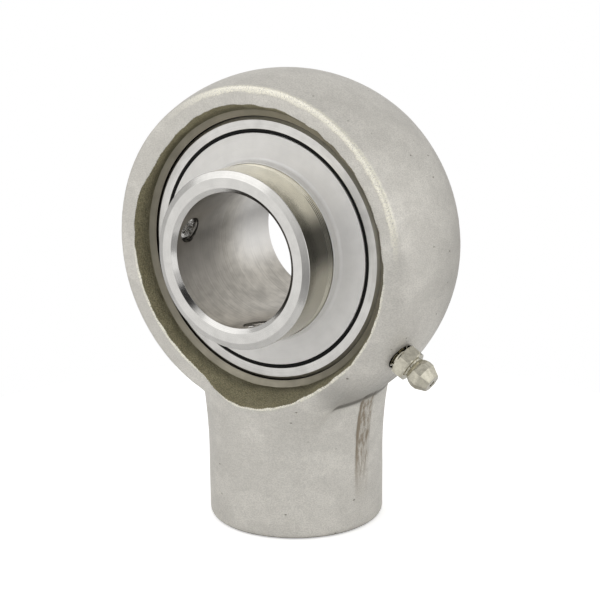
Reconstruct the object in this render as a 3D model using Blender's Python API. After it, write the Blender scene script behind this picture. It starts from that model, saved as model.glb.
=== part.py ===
"""Hanger-type ball bearing unit: a ball-shaped cast housing on a threaded neck.

A deep-groove insert bearing with a spherical outer ring sits in the ball. Its wide inner
ring is held on the shaft by two set screws, and a nipple feeds grease through the housing.

Frame: the origin is the centre of the neck's end face, +Z runs up the neck to the ball,
and the shaft runs along Y with its set screw side towards -Y.
Sizes are in millimetres here and become metres as the meshes are made.
"""

import math

import bmesh
import bpy
from mathutils import Matrix, Vector

MM = 0.001

# Places
SHAFT_HEIGHT = 65.0          # neck's end face to shaft centre
BEARING_SETBACK = -3.0       # bearing centre along Y, measured from the neck's axis

# Insert bearing, a 30 mm shaft size of the wide inner ring series
BORE_D = 30.0
RING_OD = 62.0               # diameter of the spherical outside
RING_WIDTH = 19.0
INNER_FRONT = 22.2           # bearing centre to the set screw end
INNER_REAR = 15.9            # bearing centre to the plain end
INNER_OD = 39.5
BALL_D = 9.525
BALL_COUNT = 9
PITCH_D = 46.0
OUTER_LAND_D = 52.0          # inside of the outer ring beside its raceway
RACE_CLEARANCE = 0.15        # between ball and raceway bottom
FIT_GAP = 0.3                # between pieces that touch or are pressed together

# Edges of the rings
NOSE_CHAMFER = (1.5, 0.7)    # radial and axial, set screw end
BORE_CHAMFER = (1.05, 0.85)
OUTER_CHAMFER = (0.7, 0.6)
REAR_CHAMFER = 0.8           # both edges of the inner ring's plain end

# Seals and flingers, on both sides
SEAL_SEAT_D = 54.0           # counterbore in the outer ring
SEAL_SEAT_DEPTH = 2.9
SEAL_RIM = 0.65
SEAL_PROUD = 0.2             # rim in front of the outer ring's face
SEAL_PRESS = 0.05            # the rubber rim lies this much closer to its seat than the fit gap
SEAL_WEB = 0.6
SEAL_TAPER = 0.8             # radial length of the thin lip next to the inner ring
CORE_THICKNESS = 0.5
CORE_INSET = 1.0             # from the lip's inner edge to the stiffening core
FLINGER_THICKNESS = 0.5
FLINGER_RIM_GAP = 0.5        # between the flinger's edge and the rubber rim
FLINGER_COLLAR = 2.6         # collar end in front of the outer ring's face
FLINGER_DISH = 0.5
FLINGER_STANDOFF = 0.15
FLINGER_ROOT_RISE = 0.3      # the back of the flinger lifts off beside the collar
COLLAR_WALL = 0.6
COLLAR_ROUNDING = 0.25
COLLAR_FLARE = 0.15          # the collar widens a little towards the disc
COLLAR_SHOULDER = 0.9        # height of the bend between collar and disc

# Ribbon cage
RIBBON_THICKNESS = 0.7
RIBBON_WIDTH = 2.6
POCKET_CLEARANCE = 0.3
RIVET_D = 1.0
RIVET_HEAD_D = 2.2
RIVET_HEAD_HEIGHT = 0.5
RIVET_HEAD_FLAT = 0.6        # share of the head's diameter that is flat on top
RIVET_HEAD_EDGE = 0.2
RIVET_CLEARANCE = 0.15

# Set screws
SCREW_D = 6.0
SCREW_LENGTH = 4.0
SCREW_RECESS = 0.35          # cup point outside the bore's wall at rest
SCREW_FROM_END = 5.0         # screw axis to the inner ring's front face
SCREW_ANGLES = (162.0, 282.0)
SCREW_SOCKET = 3.0           # hexagon across flats
SCREW_SOCKET_DEPTH = 1.8
SCREW_CLEARANCE = 0.1        # of the tapped hole beyond the screw's nominal radius
SCREW_SHRINK = 0.2           # of the screw below its nominal radius
SCREW_CUP_DEPTH = 0.9
SCREW_CUP_RIM = (1.2, 0.7)   # inner and outer edge of the cup's rim, in from the screw's side
SCREW_CHAMFER = 0.4

# Housing
SPHERE_R = 39.3
FRONT_FACE = 13.7            # bearing centre to the machined front face
REAR_FACE = 16.0
SEAT_RIM = (31.05, 9.9)      # radius and distance of the machined rim beside the seat
POCKET_SLOPE = 0.39          # growth of the cast pocket's radius with distance
POCKET_REACH = 30.0          # the pocket's cone runs out of the metal by here
NECK_R = 20.4
NECK_FLARE = 2.2             # growth of the neck's half width towards the ball
NECK_FLARE_START = 15.0
NECK_OVERLAP = 5.8           # height of the neck that runs on inside the ball
NECK_END_CHAMFER = 0.8
THREAD_MINOR_D = 24.1        # three-quarter inch pipe thread
THREAD_DEPTH = 22.0
THREAD_ENTRY = 1.4
DRILL_POINT = 4.0

# Grease nipple and its passage
GREASE_OFFSET = 5.8          # in front of the bearing centre
GREASE_ANGLE = -32.0         # below +X, about the shaft's axis
GREASE_PASSAGE_D = 2.5
GREASE_GROOVE = (2.4, 0.5)   # width and depth around the outer ring
GROOVE_FLANK = 0.2           # slope of the groove's sides
RING_HOLE_D = 2.0            # from that groove into the ring
NIPPLE_THREAD_D = 6.0
NIPPLE_THREAD_LENGTH = 4.6
NIPPLE_THREAD_SHRINK = 0.1   # of the thread below its nominal radius
NIPPLE_THREAD_CHAMFER = 0.5
NIPPLE_HEX = 7.0
NIPPLE_HEX_HEIGHT = 3.6
NIPPLE_LENGTH = 9.3          # from the housing's surface to the tip
NIPPLE_HEAD_D = 6.5
NIPPLE_WAIST_D = 4.03
NIPPLE_WAIST = (0.6, 0.9, 1.5)       # heights above the hexagon: shoulder, waist start and end
NIPPLE_HEAD = (2.4, 3.1)             # heights above the hexagon of the widest part
NIPPLE_TIP_D = 3.25
NIPPLE_CHANNEL_D = 2.6
NIPPLE_INLET_D = 1.3         # narrow end of the channel, which carries the spring
NIPPLE_LEDGE = 0.9           # height of that narrow end
NIPPLE_MOUTH_D = 1.5         # smaller than the check ball
NIPPLE_MOUTH = (0.45, 1.0)   # below the tip: where the mouth's cone starts and ends
CHECK_BALL_D = 2.0
CHECK_BALL_GAP = 0.1
SPOT_FACE_D = 9.8
SPOT_FACE_DEPTH = 0.5
SPOT_FACE_REACH = 3.0        # the cutter's length in front of the ball's surface
THREAD_CLEARANCE = 0.2       # of the nipple's tapped hole
THREAD_RUNOUT = 0.3
SPRING_WIRE = 0.3
SPRING_TURNS = 4
SPRING_LENGTH = 4.2
SPRING_CLEARANCE = 0.25      # between the coil and the channel's wall

# Facets and points around each shape
ROUND = 40                   # turned pieces of the bearing and the neck
BODY = 64                    # ball of the housing
SMALL = 20                   # screws, nipple and their holes
HOLE = 12                    # small drilled holes and the check ball
BALL = 14                    # rolling balls
RIVET = 8
HALF_ROUND = 8               # points along half a turn of a ball or a cage pocket
GROOVE_POINTS = 6
SEAT_POINTS = 8
SPHERE_POINTS = 5            # along the curved outside of the ring and the housing
SPRING_SIDES = 5
SPRING_POINTS = 10           # in each turn
CUT_SPARE = 3.0              # how far a cutter runs past the surface that it cuts
MERGE = 1e-5
SMOOTH_ANGLE = 35.0


def material(name, color, roughness, metallic):
    mat = bpy.data.materials.new(name)
    mat.use_nodes = True
    shader = mat.node_tree.nodes["Principled BSDF"]
    shader.inputs["Base Color"].default_value = (*color, 1.0)
    shader.inputs["Roughness"].default_value = roughness
    shader.inputs["Metallic"].default_value = metallic
    return mat


def new_object(name, bm, mat, parent=None, matrix=None):
    """Scale a millimetre bmesh to metres and put it in the scene as one named object."""
    bmesh.ops.recalc_face_normals(bm, faces=bm.faces)
    bmesh.ops.scale(bm, vec=(MM, MM, MM), verts=bm.verts)
    mesh = bpy.data.meshes.new(name)
    bm.to_mesh(mesh)
    bm.free()
    mesh.shade_smooth()
    mesh.set_sharp_from_angle(angle=math.radians(SMOOTH_ANGLE))
    mesh.materials.append(mat)
    obj = bpy.data.objects.new(name, mesh)
    bpy.context.scene.collection.objects.link(obj)
    obj.parent = parent
    if matrix is not None:
        obj.matrix_local = matrix
    return obj


def cutter(name, bm, target, matrix=None, parent=None, operation="DIFFERENCE"):
    """Hide a shape and use it on the target with an exact Boolean."""
    tool = new_object(name, bm, target.data.materials[0], parent, matrix)
    tool.hide_render = True
    tool.display_type = "WIRE"
    boolean = target.modifiers.new(name, "BOOLEAN")
    boolean.operation = operation
    boolean.object = tool
    boolean.solver = "EXACT"
    return tool


def arc(radius, start, end, steps, center=(0.0, 0.0)):
    """Points on a circle from start to end, in degrees."""
    points = []
    for step in range(steps + 1):
        angle = math.radians(start + (end - start) * step / steps)
        points.append((center[0] + radius * math.cos(angle), center[1] + radius * math.sin(angle)))
    return points


def lathe(points, segments, closed=True, axis="Z"):
    """Turn (radius, height) points about Z, or about Y with the height towards -Y."""
    bm = bmesh.new()
    if axis == "Z":
        verts = [bm.verts.new((radius, 0.0, height)) for radius, height in points]
        direction = (0.0, 0.0, 1.0)
    else:
        verts = [bm.verts.new((radius, -height, 0.0)) for radius, height in points]
        direction = (0.0, 1.0, 0.0)
    ends = zip(verts, verts[1:] + verts[:1]) if closed else zip(verts, verts[1:])
    edges = [bm.edges.new(pair) for pair in ends]
    bmesh.ops.spin(
        bm, geom=verts + edges, cent=(0.0, 0.0, 0.0), axis=direction, angle=2.0 * math.pi,
        steps=segments, use_merge=True, use_duplicate=False)
    bmesh.ops.remove_doubles(bm, verts=bm.verts, dist=MERGE)
    return bm


def prism(sides, across_flats, bottom, top):
    """An upright prism about Z, such as a hexagon head or socket."""
    radius = across_flats / 2.0 / math.cos(math.pi / sides)
    bm = bmesh.new()
    bmesh.ops.create_cone(
        bm, cap_ends=True, segments=sides, radius1=radius, radius2=radius, depth=top - bottom)
    bmesh.ops.translate(bm, vec=(0.0, 0.0, (top + bottom) / 2.0), verts=bm.verts)
    return bm


def radial_frame(angle, forward):
    """A matrix whose +Z points away from the shaft's axis at this angle, in metres."""
    turn = math.radians(angle)
    outward = Vector((math.cos(turn), 0.0, math.sin(turn)))
    side = Vector((0.0, -1.0, 0.0))
    across = side.cross(outward)
    rotation = Matrix((side, across, outward)).transposed().to_4x4()
    return Matrix.Translation((0.0, -forward * MM, 0.0)) @ rotation


def raceway(sign):
    """Groove points from front to rear: sign 1 in the outer ring, -1 in the inner ring."""
    land = OUTER_LAND_D / 2.0 if sign > 0 else INNER_OD / 2.0
    radius = BALL_D / 2.0 + RACE_CLEARANCE
    half = math.degrees(math.acos((land - PITCH_D / 2.0) * sign / radius))
    middle = 0.0 if sign > 0 else 180.0
    turn = half if sign > 0 else -half
    return arc(radius, middle + turn, middle - turn, GROOVE_POINTS, center=(PITCH_D / 2.0, 0.0))


def outer_ring(parent, mat):
    face = RING_WIDTH / 2.0
    radius = RING_OD / 2.0
    radial, axial = OUTER_CHAMFER
    edge = math.sqrt(radius ** 2 - (face - axial) ** 2)
    seat = SEAL_SEAT_D / 2.0
    land = OUTER_LAND_D / 2.0
    shoulder = face - SEAL_SEAT_DEPTH
    groove_width, groove_depth = GREASE_GROOVE

    def on_sphere(height):
        return (math.sqrt(radius ** 2 - height ** 2), height)

    groove_front = GREASE_OFFSET + groove_width / 2.0
    groove_rear = GREASE_OFFSET - groove_width / 2.0
    floor = on_sphere(GREASE_OFFSET)[0] - groove_depth
    points = [(seat, face), (edge - radial, face), (edge, face - axial), on_sphere(groove_front)]
    points += [(floor, groove_front - GROOVE_FLANK), (floor, groove_rear + GROOVE_FLANK)]
    rear_span = groove_rear + face - axial
    for step in range(SPHERE_POINTS + 1):
        points.append(on_sphere(groove_rear - rear_span * step / SPHERE_POINTS))
    points += [(edge - radial, -face), (seat, -face), (seat, -shoulder), (land, -shoulder)]
    points += list(reversed(raceway(1)))
    points += [(land, shoulder), (seat, shoulder)]
    ring = new_object("outer_ring", lathe(points, ROUND, axis="Y"), mat, parent)
    hole = prism(HOLE, RING_HOLE_D, land - CUT_SPARE, radius + CUT_SPARE)
    cutter("cut_ring_grease_hole", hole, ring, radial_frame(GREASE_ANGLE, GREASE_OFFSET), parent)
    return ring


def inner_ring(parent, mat):
    bore = BORE_D / 2.0
    outside = INNER_OD / 2.0
    nose_radial, nose_axial = NOSE_CHAMFER
    bore_radial, bore_axial = BORE_CHAMFER
    points = [(bore, INNER_FRONT - bore_axial), (bore + bore_radial, INNER_FRONT)]
    points += [(outside - nose_radial, INNER_FRONT), (outside, INNER_FRONT - nose_axial)]
    points += raceway(-1)
    points += [(outside, -INNER_REAR + REAR_CHAMFER), (outside - REAR_CHAMFER, -INNER_REAR)]
    points += [(bore + REAR_CHAMFER, -INNER_REAR), (bore, -INNER_REAR + REAR_CHAMFER)]
    ring = new_object("inner_ring", lathe(points, ROUND, axis="Y"), mat, parent)
    for number, angle in enumerate(SCREW_ANGLES, 1):
        width = SCREW_D + 2.0 * SCREW_CLEARANCE
        hole = prism(SMALL, width, bore - CUT_SPARE, outside + CUT_SPARE)
        frame = radial_frame(angle, INNER_FRONT - SCREW_FROM_END)
        cutter(f"cut_screw_hole_{number}", hole, ring, frame, parent)
    return ring


def ball_profile(radius):
    """Half a circle from pole to pole, with the poles exactly on the axis."""
    return [(0.0, -radius)] + arc(radius, -90.0, 90.0, HALF_ROUND)[1:-1] + [(0.0, radius)]


def pitch_point(number):
    """A place on the pitch circle, counted in ball pitches from the top; halves are rivets."""
    angle = math.radians(90.0 + 360.0 / BALL_COUNT * number)
    return Vector((math.cos(angle), 0.0, math.sin(angle))) * PITCH_D / 2.0


def balls(parent, mat):
    for number in range(BALL_COUNT):
        sphere = lathe(ball_profile(BALL_D / 2.0), BALL, closed=False, axis="Y")
        ball = new_object(f"ball_{number + 1}", sphere, mat, parent)
        ball.location = pitch_point(number) * MM


def ribbon_outline(radius, flat):
    """Half a ribbon's edge over one ball pitch, as (distance around the pitch circle, height)."""
    corner = math.degrees(math.asin(flat / radius))
    pocket = arc(radius, 180.0 - corner, corner, HALF_ROUND)
    half_pitch = math.pi * PITCH_D / BALL_COUNT / 2.0
    return pocket + [(half_pitch, flat)]


def cage_half(name, side, parent, mat):
    """One ribbon half, its pockets bulging forward for side 1 and backward for side -1."""
    inside = ribbon_outline(BALL_D / 2.0 + POCKET_CLEARANCE, FIT_GAP / 2.0)
    outside = ribbon_outline(
        BALL_D / 2.0 + POCKET_CLEARANCE + RIBBON_THICKNESS, FIT_GAP / 2.0 + RIBBON_THICKNESS)
    radii = (PITCH_D / 2.0 - RIBBON_WIDTH / 2.0, PITCH_D / 2.0 + RIBBON_WIDTH / 2.0)
    corners = (
        (inside, radii[0]), (inside, radii[1]), (outside, radii[1]), (outside, radii[0]))
    bm = bmesh.new()
    rows = []
    for number in range(BALL_COUNT):
        start = math.radians(90.0 + 360.0 / BALL_COUNT * number)
        for index in range(len(inside)):
            row = []
            for outline, radius in corners:
                around, height = outline[index]
                angle = start + around / (PITCH_D / 2.0)
                row.append(bm.verts.new(
                    (math.cos(angle) * radius, -side * height, math.sin(angle) * radius)))
            rows.append(row)
    for row, following in zip(rows, rows[1:] + rows[:1]):
        for index in range(4):
            after = (index + 1) % 4
            bm.faces.new((row[index], row[after], following[after], following[index]))
    half = new_object(name, bm, mat, parent)
    holes = bmesh.new()
    radius = RIVET_D / 2.0 + RIVET_CLEARANCE
    along_shaft = Matrix.Rotation(math.pi / 2.0, 4, "X")
    for number in range(BALL_COUNT):
        place = Matrix.Translation(pitch_point(number + 0.5))
        bmesh.ops.create_cone(
            holes, cap_ends=True, segments=RIVET, radius1=radius, radius2=radius,
            depth=2.0 * CUT_SPARE, matrix=place @ along_shaft)
    cutter(f"cut_{name}_rivet_holes", holes, half, parent=parent)
    return half


def cage_rivets(parent, mat):
    shank = RIVET_D / 2.0
    head = RIVET_HEAD_D / 2.0
    seat = FIT_GAP / 2.0 + RIBBON_THICKNESS + RIVET_CLEARANCE
    top = seat + RIVET_HEAD_HEIGHT
    points = [(0.0, top), (head * RIVET_HEAD_FLAT, top), (head, seat + RIVET_HEAD_EDGE)]
    points += [(head, seat), (shank, seat)]
    points += [(radius, -height) for radius, height in reversed(points)]
    for number in range(BALL_COUNT):
        shape = lathe(points, RIVET, closed=False, axis="Y")
        rivet = new_object(f"cage_rivet_{number + 1}", shape, mat, parent)
        rivet.location = pitch_point(number + 0.5) * MM


def mirrored(points, side):
    return [(radius, side * height) for radius, height in points]


def flinger(name, side, parent, mat):
    face = RING_WIDTH / 2.0
    inner = INNER_OD / 2.0 + FIT_GAP
    collar = inner + COLLAR_WALL
    rim = SEAL_SEAT_D / 2.0 - SEAL_RIM - FLINGER_RIM_GAP
    back = face + FLINGER_STANDOFF
    top = face + FLINGER_COLLAR
    disc = back + FLINGER_DISH
    points = [(inner, back + FLINGER_ROOT_RISE), (inner, top - COLLAR_ROUNDING / 2.0)]
    points += [(inner + COLLAR_ROUNDING, top), (collar, top - COLLAR_ROUNDING)]
    points += [(collar + COLLAR_FLARE, disc + COLLAR_SHOULDER)]
    points += [(collar + COLLAR_SHOULDER, disc + FLINGER_THICKNESS)]
    points += [(rim, back + FLINGER_THICKNESS), (rim, back)]
    points += [(collar + COLLAR_SHOULDER, back + FLINGER_ROOT_RISE)]
    new_object(name, lathe(mirrored(points, side), ROUND, axis="Y"), mat, parent)


def seal_lip(name, side, parent, mat):
    face = RING_WIDTH / 2.0
    outside = SEAL_SEAT_D / 2.0 - FIT_GAP + SEAL_PRESS
    inside = outside - SEAL_RIM
    back = face - SEAL_SEAT_DEPTH + FIT_GAP
    lip = INNER_OD / 2.0 + FIT_GAP
    points = [(outside, back), (outside, face + SEAL_PROUD), (inside, face + SEAL_PROUD)]
    points += [(inside, back + SEAL_WEB), (lip + SEAL_TAPER, back + SEAL_WEB)]
    points += [(lip, back + SEAL_WEB * 1.5), (lip, back + SEAL_WEB / 3.0)]
    points += [(lip + SEAL_WEB, back)]
    new_object(name, lathe(mirrored(points, side), ROUND, axis="Y"), mat, parent)


def seal_core(name, side, parent, mat):
    face = RING_WIDTH / 2.0
    outside = SEAL_SEAT_D / 2.0 - 2.0 * FIT_GAP - SEAL_RIM
    inside = INNER_OD / 2.0 + FIT_GAP + CORE_INSET
    back = face - SEAL_SEAT_DEPTH + 2.0 * FIT_GAP + SEAL_WEB
    points = [(outside, back), (outside, back + CORE_THICKNESS)]
    points += [(inside, back + CORE_THICKNESS), (inside, back)]
    new_object(name, lathe(mirrored(points, side), ROUND, axis="Y"), mat, parent)


def set_screw(number, angle, parent, mat):
    """A cup point set screw: its axis is local Z, which points away from the shaft."""
    start = BORE_D / 2.0 + SCREW_RECESS
    end = start + SCREW_LENGTH
    radius = SCREW_D / 2.0 - SCREW_SHRINK
    inner, outer = SCREW_CUP_RIM
    points = [(0.0, start + SCREW_CUP_DEPTH), (radius - inner, start), (radius - outer, start)]
    points += [(radius, start + outer), (radius, end - SCREW_CHAMFER)]
    points += [(radius - SCREW_CHAMFER, end), (0.0, end)]
    frame = radial_frame(angle, INNER_FRONT - SCREW_FROM_END)
    bm = lathe(points, SMALL, closed=False)
    screw = new_object(f"set_screw_{number}", bm, mat, parent, frame)
    socket = prism(6, SCREW_SOCKET, end - SCREW_SOCKET_DEPTH, end + CUT_SPARE)
    cutter(f"cut_socket_{number}", socket, screw, frame, parent)


def grease_frame():
    return radial_frame(GREASE_ANGLE, GREASE_OFFSET)


def surface_height():
    """Distance of the ball's surface from the shaft's axis at the nipple."""
    return math.sqrt(SPHERE_R ** 2 - GREASE_OFFSET ** 2)


def grease_nipple(parent, mat):
    base = surface_height()
    seat = base - SPOT_FACE_DEPTH + FIT_GAP
    bottom = seat - NIPPLE_THREAD_LENGTH
    shank = NIPPLE_THREAD_D / 2.0 - NIPPLE_THREAD_SHRINK
    hexagon_top = base + NIPPLE_HEX_HEIGHT
    shoulder, waist_start, waist_end = [hexagon_top + height for height in NIPPLE_WAIST]
    head_start, head_end = [hexagon_top + height for height in NIPPLE_HEAD]
    head = NIPPLE_HEAD_D / 2.0
    waist = NIPPLE_WAIST_D / 2.0
    tip = base + NIPPLE_LENGTH
    points = [(0.0, bottom), (shank - NIPPLE_THREAD_CHAMFER, bottom)]
    points += [(shank, bottom + NIPPLE_THREAD_CHAMFER), (shank, shoulder)]
    points += [(waist, waist_start), (waist, waist_end), (head, head_start), (head, head_end)]
    points += [(NIPPLE_TIP_D / 2.0, tip), (0.0, tip)]
    shape = lathe(points, SMALL, closed=False)
    nipple = new_object("grease_nipple", shape, mat, parent, grease_frame())
    hexagon = prism(6, NIPPLE_HEX, seat, hexagon_top)
    cutter("join_nipple_hexagon", hexagon, nipple, grease_frame(), parent, "UNION")
    channel = NIPPLE_CHANNEL_D / 2.0
    inlet = NIPPLE_INLET_D / 2.0
    mouth = NIPPLE_MOUTH_D / 2.0
    ledge = bottom + NIPPLE_LEDGE
    mouth_end, mouth_start = [tip - depth for depth in NIPPLE_MOUTH]
    points = [(0.0, bottom - CUT_SPARE), (inlet, bottom - CUT_SPARE), (inlet, ledge)]
    points += [(channel, ledge), (channel, mouth_start), (mouth, mouth_end)]
    points += [(mouth, tip + CUT_SPARE), (0.0, tip + CUT_SPARE)]
    cutter("cut_nipple_channel", lathe(points, HOLE, closed=False), nipple, grease_frame(), parent)


def check_ball_height():
    """The check ball's centre, just behind the mouth that it closes."""
    mouth = surface_height() + NIPPLE_LENGTH - NIPPLE_MOUTH[0]
    return mouth - CHECK_BALL_GAP - CHECK_BALL_D / 2.0


def nipple_check_ball(parent, mat):
    frame = grease_frame() @ Matrix.Translation((0.0, 0.0, check_ball_height() * MM))
    sphere = lathe(ball_profile(CHECK_BALL_D / 2.0), HOLE, closed=False)
    new_object("nipple_check_ball", sphere, mat, parent, frame)


def nipple_spring(parent, mat):
    """A coil of round wire behind the check ball, as a closed tube along a helix."""
    wire = SPRING_WIRE / 2.0
    coil = NIPPLE_CHANNEL_D / 2.0 - wire - SPRING_CLEARANCE
    top = check_ball_height() - CHECK_BALL_D / 2.0 - CHECK_BALL_GAP - wire
    count = SPRING_TURNS * SPRING_POINTS
    bm = bmesh.new()
    rings = []
    for step in range(count + 1):
        angle = 2.0 * math.pi * step / SPRING_POINTS
        height = top - SPRING_LENGTH * step / count
        outward = Vector((math.cos(angle), math.sin(angle), 0.0))
        ring = []
        for side in range(SPRING_SIDES):
            turn = 2.0 * math.pi * side / SPRING_SIDES
            point = outward * (coil + wire * math.cos(turn))
            ring.append(bm.verts.new((point.x, point.y, height + wire * math.sin(turn))))
        rings.append(ring)
    for ring, following in zip(rings, rings[1:]):
        for side in range(SPRING_SIDES):
            after = (side + 1) % SPRING_SIDES
            bm.faces.new((ring[side], ring[after], following[after], following[side]))
    bm.faces.new(rings[0])
    bm.faces.new(rings[-1])
    new_object("nipple_spring", bm, mat, parent, grease_frame())


def cavity_points():
    """The bearing's space in the housing: rear pocket, spherical seat, front pocket."""
    seat = RING_OD / 2.0 + FIT_GAP
    rim_radius, rim_height = SEAT_RIM
    half = math.degrees(math.asin(rim_height / seat))
    wide = rim_radius + POCKET_SLOPE * (POCKET_REACH - rim_height)
    points = [(0.0, -POCKET_REACH), (wide, -POCKET_REACH), (rim_radius, -rim_height)]
    points += arc(seat, -half, half, SEAT_POINTS)
    points += [(rim_radius, rim_height), (wide, POCKET_REACH), (0.0, POCKET_REACH)]
    return points


def neck():
    """A round neck that widens along X only, where its sides run into the ball."""
    top = SHAFT_HEIGHT - RING_OD / 2.0
    points = [(0.0, 0.0), (NECK_R - NECK_END_CHAMFER, 0.0), (NECK_R, NECK_END_CHAMFER)]
    for step in range(SPHERE_POINTS + 1):
        rise = (top - NECK_FLARE_START) * step / SPHERE_POINTS
        points.append((NECK_R, NECK_FLARE_START + rise))
    inside = SHAFT_HEIGHT - math.sqrt(SPHERE_R ** 2 - (NECK_R + NECK_FLARE) ** 2) + NECK_OVERLAP
    points += [(NECK_R, inside), (0.0, inside)]
    bm = lathe(points, ROUND, closed=False)
    for vert in bm.verts:
        share = (vert.co.z - NECK_FLARE_START) / (top - NECK_FLARE_START)
        share = min(max(share, 0.0), 1.0)
        vert.co.x *= 1.0 + NECK_FLARE / NECK_R * share ** 2
    return bm


def housing(centre, mat):
    front = math.degrees(math.asin(FRONT_FACE / SPHERE_R))
    rear = math.degrees(math.asin(REAR_FACE / SPHERE_R))
    points = [(0.0, -REAR_FACE)] + arc(SPHERE_R, -rear, 0.0, SPHERE_POINTS)
    points += arc(SPHERE_R, 0.0, front, SPHERE_POINTS)[1:] + [(0.0, FRONT_FACE)]
    body = new_object("housing", lathe(points, BODY, closed=False, axis="Y"), mat, centre)
    place = Matrix.Translation((0.0, -BEARING_SETBACK * MM, -SHAFT_HEIGHT * MM))
    cutter("join_neck", neck(), body, place, centre, "UNION")
    space = lathe(cavity_points(), BODY, closed=False, axis="Y")
    cutter("cut_bearing_space", space, body, parent=centre)
    minor = THREAD_MINOR_D / 2.0
    wide = minor + THREAD_ENTRY
    points = [(0.0, -CUT_SPARE), (wide, -CUT_SPARE), (wide, 0.0)]
    points += [(minor, THREAD_ENTRY), (minor, THREAD_DEPTH), (0.0, THREAD_DEPTH + DRILL_POINT)]
    cutter("cut_neck_socket", lathe(points, ROUND, closed=False), body, place, centre)
    base = surface_height()
    seat = base - SPOT_FACE_DEPTH
    thread = NIPPLE_THREAD_D / 2.0 + THREAD_CLEARANCE
    passage = GREASE_PASSAGE_D / 2.0
    bottom = seat - NIPPLE_THREAD_LENGTH - THREAD_RUNOUT
    start = RING_OD / 2.0 - CUT_SPARE
    points = [(0.0, start), (passage, start), (passage, bottom)]
    points += [(thread, bottom), (thread, seat), (SPOT_FACE_D / 2.0, seat)]
    points += [(SPOT_FACE_D / 2.0, base + SPOT_FACE_REACH), (0.0, base + SPOT_FACE_REACH)]
    cutter("cut_grease_passage", lathe(points, SMALL, closed=False), body, grease_frame(), centre)


def main():
    for obj in list(bpy.data.objects):
        bpy.data.objects.remove(obj, do_unlink=True)
    cast = material("cast_stainless", (0.62, 0.60, 0.56), 0.42, 1.0)
    ring_steel = material("ground_ring_steel", (0.66, 0.66, 0.66), 0.25, 1.0)
    ball_steel = material("polished_balls", (0.75, 0.75, 0.75), 0.08, 1.0)
    sheet = material("pressed_stainless", (0.72, 0.72, 0.71), 0.18, 1.0)
    rubber = material("black_rubber", (0.02, 0.02, 0.02), 0.6, 0.0)
    cage_steel = material("cage_steel", (0.55, 0.55, 0.54), 0.35, 1.0)
    nickel = material("nickel_nipple", (0.62, 0.58, 0.50), 0.28, 1.0)
    screw_steel = material("screw_steel", (0.42, 0.41, 0.40), 0.35, 1.0)

    centre = bpy.data.objects.new("bearing_centre", None)
    bpy.context.scene.collection.objects.link(centre)
    centre.location = (0.0, BEARING_SETBACK * MM, SHAFT_HEIGHT * MM)

    housing(centre, cast)
    outer_ring(centre, ring_steel)
    inner_ring(centre, ring_steel)
    balls(centre, ball_steel)
    cage_rivets(centre, cage_steel)
    for word, side in (("front", 1), ("rear", -1)):
        cage_half(f"cage_{word}", side, centre, cage_steel)
        flinger(f"{word}_flinger", side, centre, sheet)
        seal_lip(f"{word}_seal_lip", side, centre, rubber)
        seal_core(f"{word}_seal_core", side, centre, sheet)
    for number, angle in enumerate(SCREW_ANGLES, 1):
        set_screw(number, angle, centre, screw_steel)
    grease_nipple(centre, nickel)
    nipple_check_ball(centre, ball_steel)
    nipple_spring(centre, screw_steel)


main()
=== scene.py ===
"""Looks of a stainless hanger bearing unit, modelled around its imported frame.

Pieces are modelled in millimetres in one of three places and then put into the frame:
the bearing's own space (x, y, z about the bearing's centre, the shaft along Y, front at -Y),
or a radial place, whose +Z points away from the shaft at a set screw or at the grease nipple.
Turned profiles are lists of (radius, forward) or, in a radial place, of (radius, height).
"""

import math

import bmesh
import bpy
import numpy as np
from mathutils import Matrix, Vector, noise


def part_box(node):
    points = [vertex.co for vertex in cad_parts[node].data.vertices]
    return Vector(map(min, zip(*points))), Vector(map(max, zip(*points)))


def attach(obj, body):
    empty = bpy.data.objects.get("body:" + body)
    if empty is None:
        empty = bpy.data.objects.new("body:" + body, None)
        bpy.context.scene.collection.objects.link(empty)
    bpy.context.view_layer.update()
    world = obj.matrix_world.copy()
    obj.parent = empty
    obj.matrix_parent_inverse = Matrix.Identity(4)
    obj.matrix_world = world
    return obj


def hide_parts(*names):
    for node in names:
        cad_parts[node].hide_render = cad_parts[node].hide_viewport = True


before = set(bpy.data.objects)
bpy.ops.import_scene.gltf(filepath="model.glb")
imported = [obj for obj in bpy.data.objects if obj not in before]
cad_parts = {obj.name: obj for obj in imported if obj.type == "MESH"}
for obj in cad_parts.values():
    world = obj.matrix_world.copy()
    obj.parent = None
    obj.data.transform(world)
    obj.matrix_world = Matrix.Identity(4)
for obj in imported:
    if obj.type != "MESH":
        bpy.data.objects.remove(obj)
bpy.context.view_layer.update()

bl_info = {
    "name": "Hanger Bearing Unit",
    "version": (1, 0, 0),
    "blender": (4, 5, 0),
    "location": "3D View > Sidebar > Bearing",
    "description": "Models a stainless ball-shaped bearing unit on a threaded neck",
    "category": "Add Mesh",
}

MM = 0.001
THREAD_MARGIN = 0.2          # walls this far inside a thread's root are left alone
FULL_TURN = 2.0 * math.pi
RING_LOW, RING_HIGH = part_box("outer_ring")
CENTRE = (RING_LOW + RING_HIGH) / 2.0
HOUSING_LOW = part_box("housing")[0]
SHAFT_HEIGHT = (CENTRE.z - HOUSING_LOW.z) / MM
NECK_FORWARD = CENTRE.y / MM            # the neck's axis stands behind the bearing's centre


def length(name, description, millimetres):
    return bpy.props.FloatProperty(
        name=name, description=description, default=millimetres * MM, unit="LENGTH", precision=5)


def mm(value):
    return value / MM


def colour(name, description, red, green, blue):
    return bpy.props.FloatVectorProperty(
        name=name, description=description, default=(red, green, blue), subtype="COLOR",
        min=0.0, max=1.0)


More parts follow.
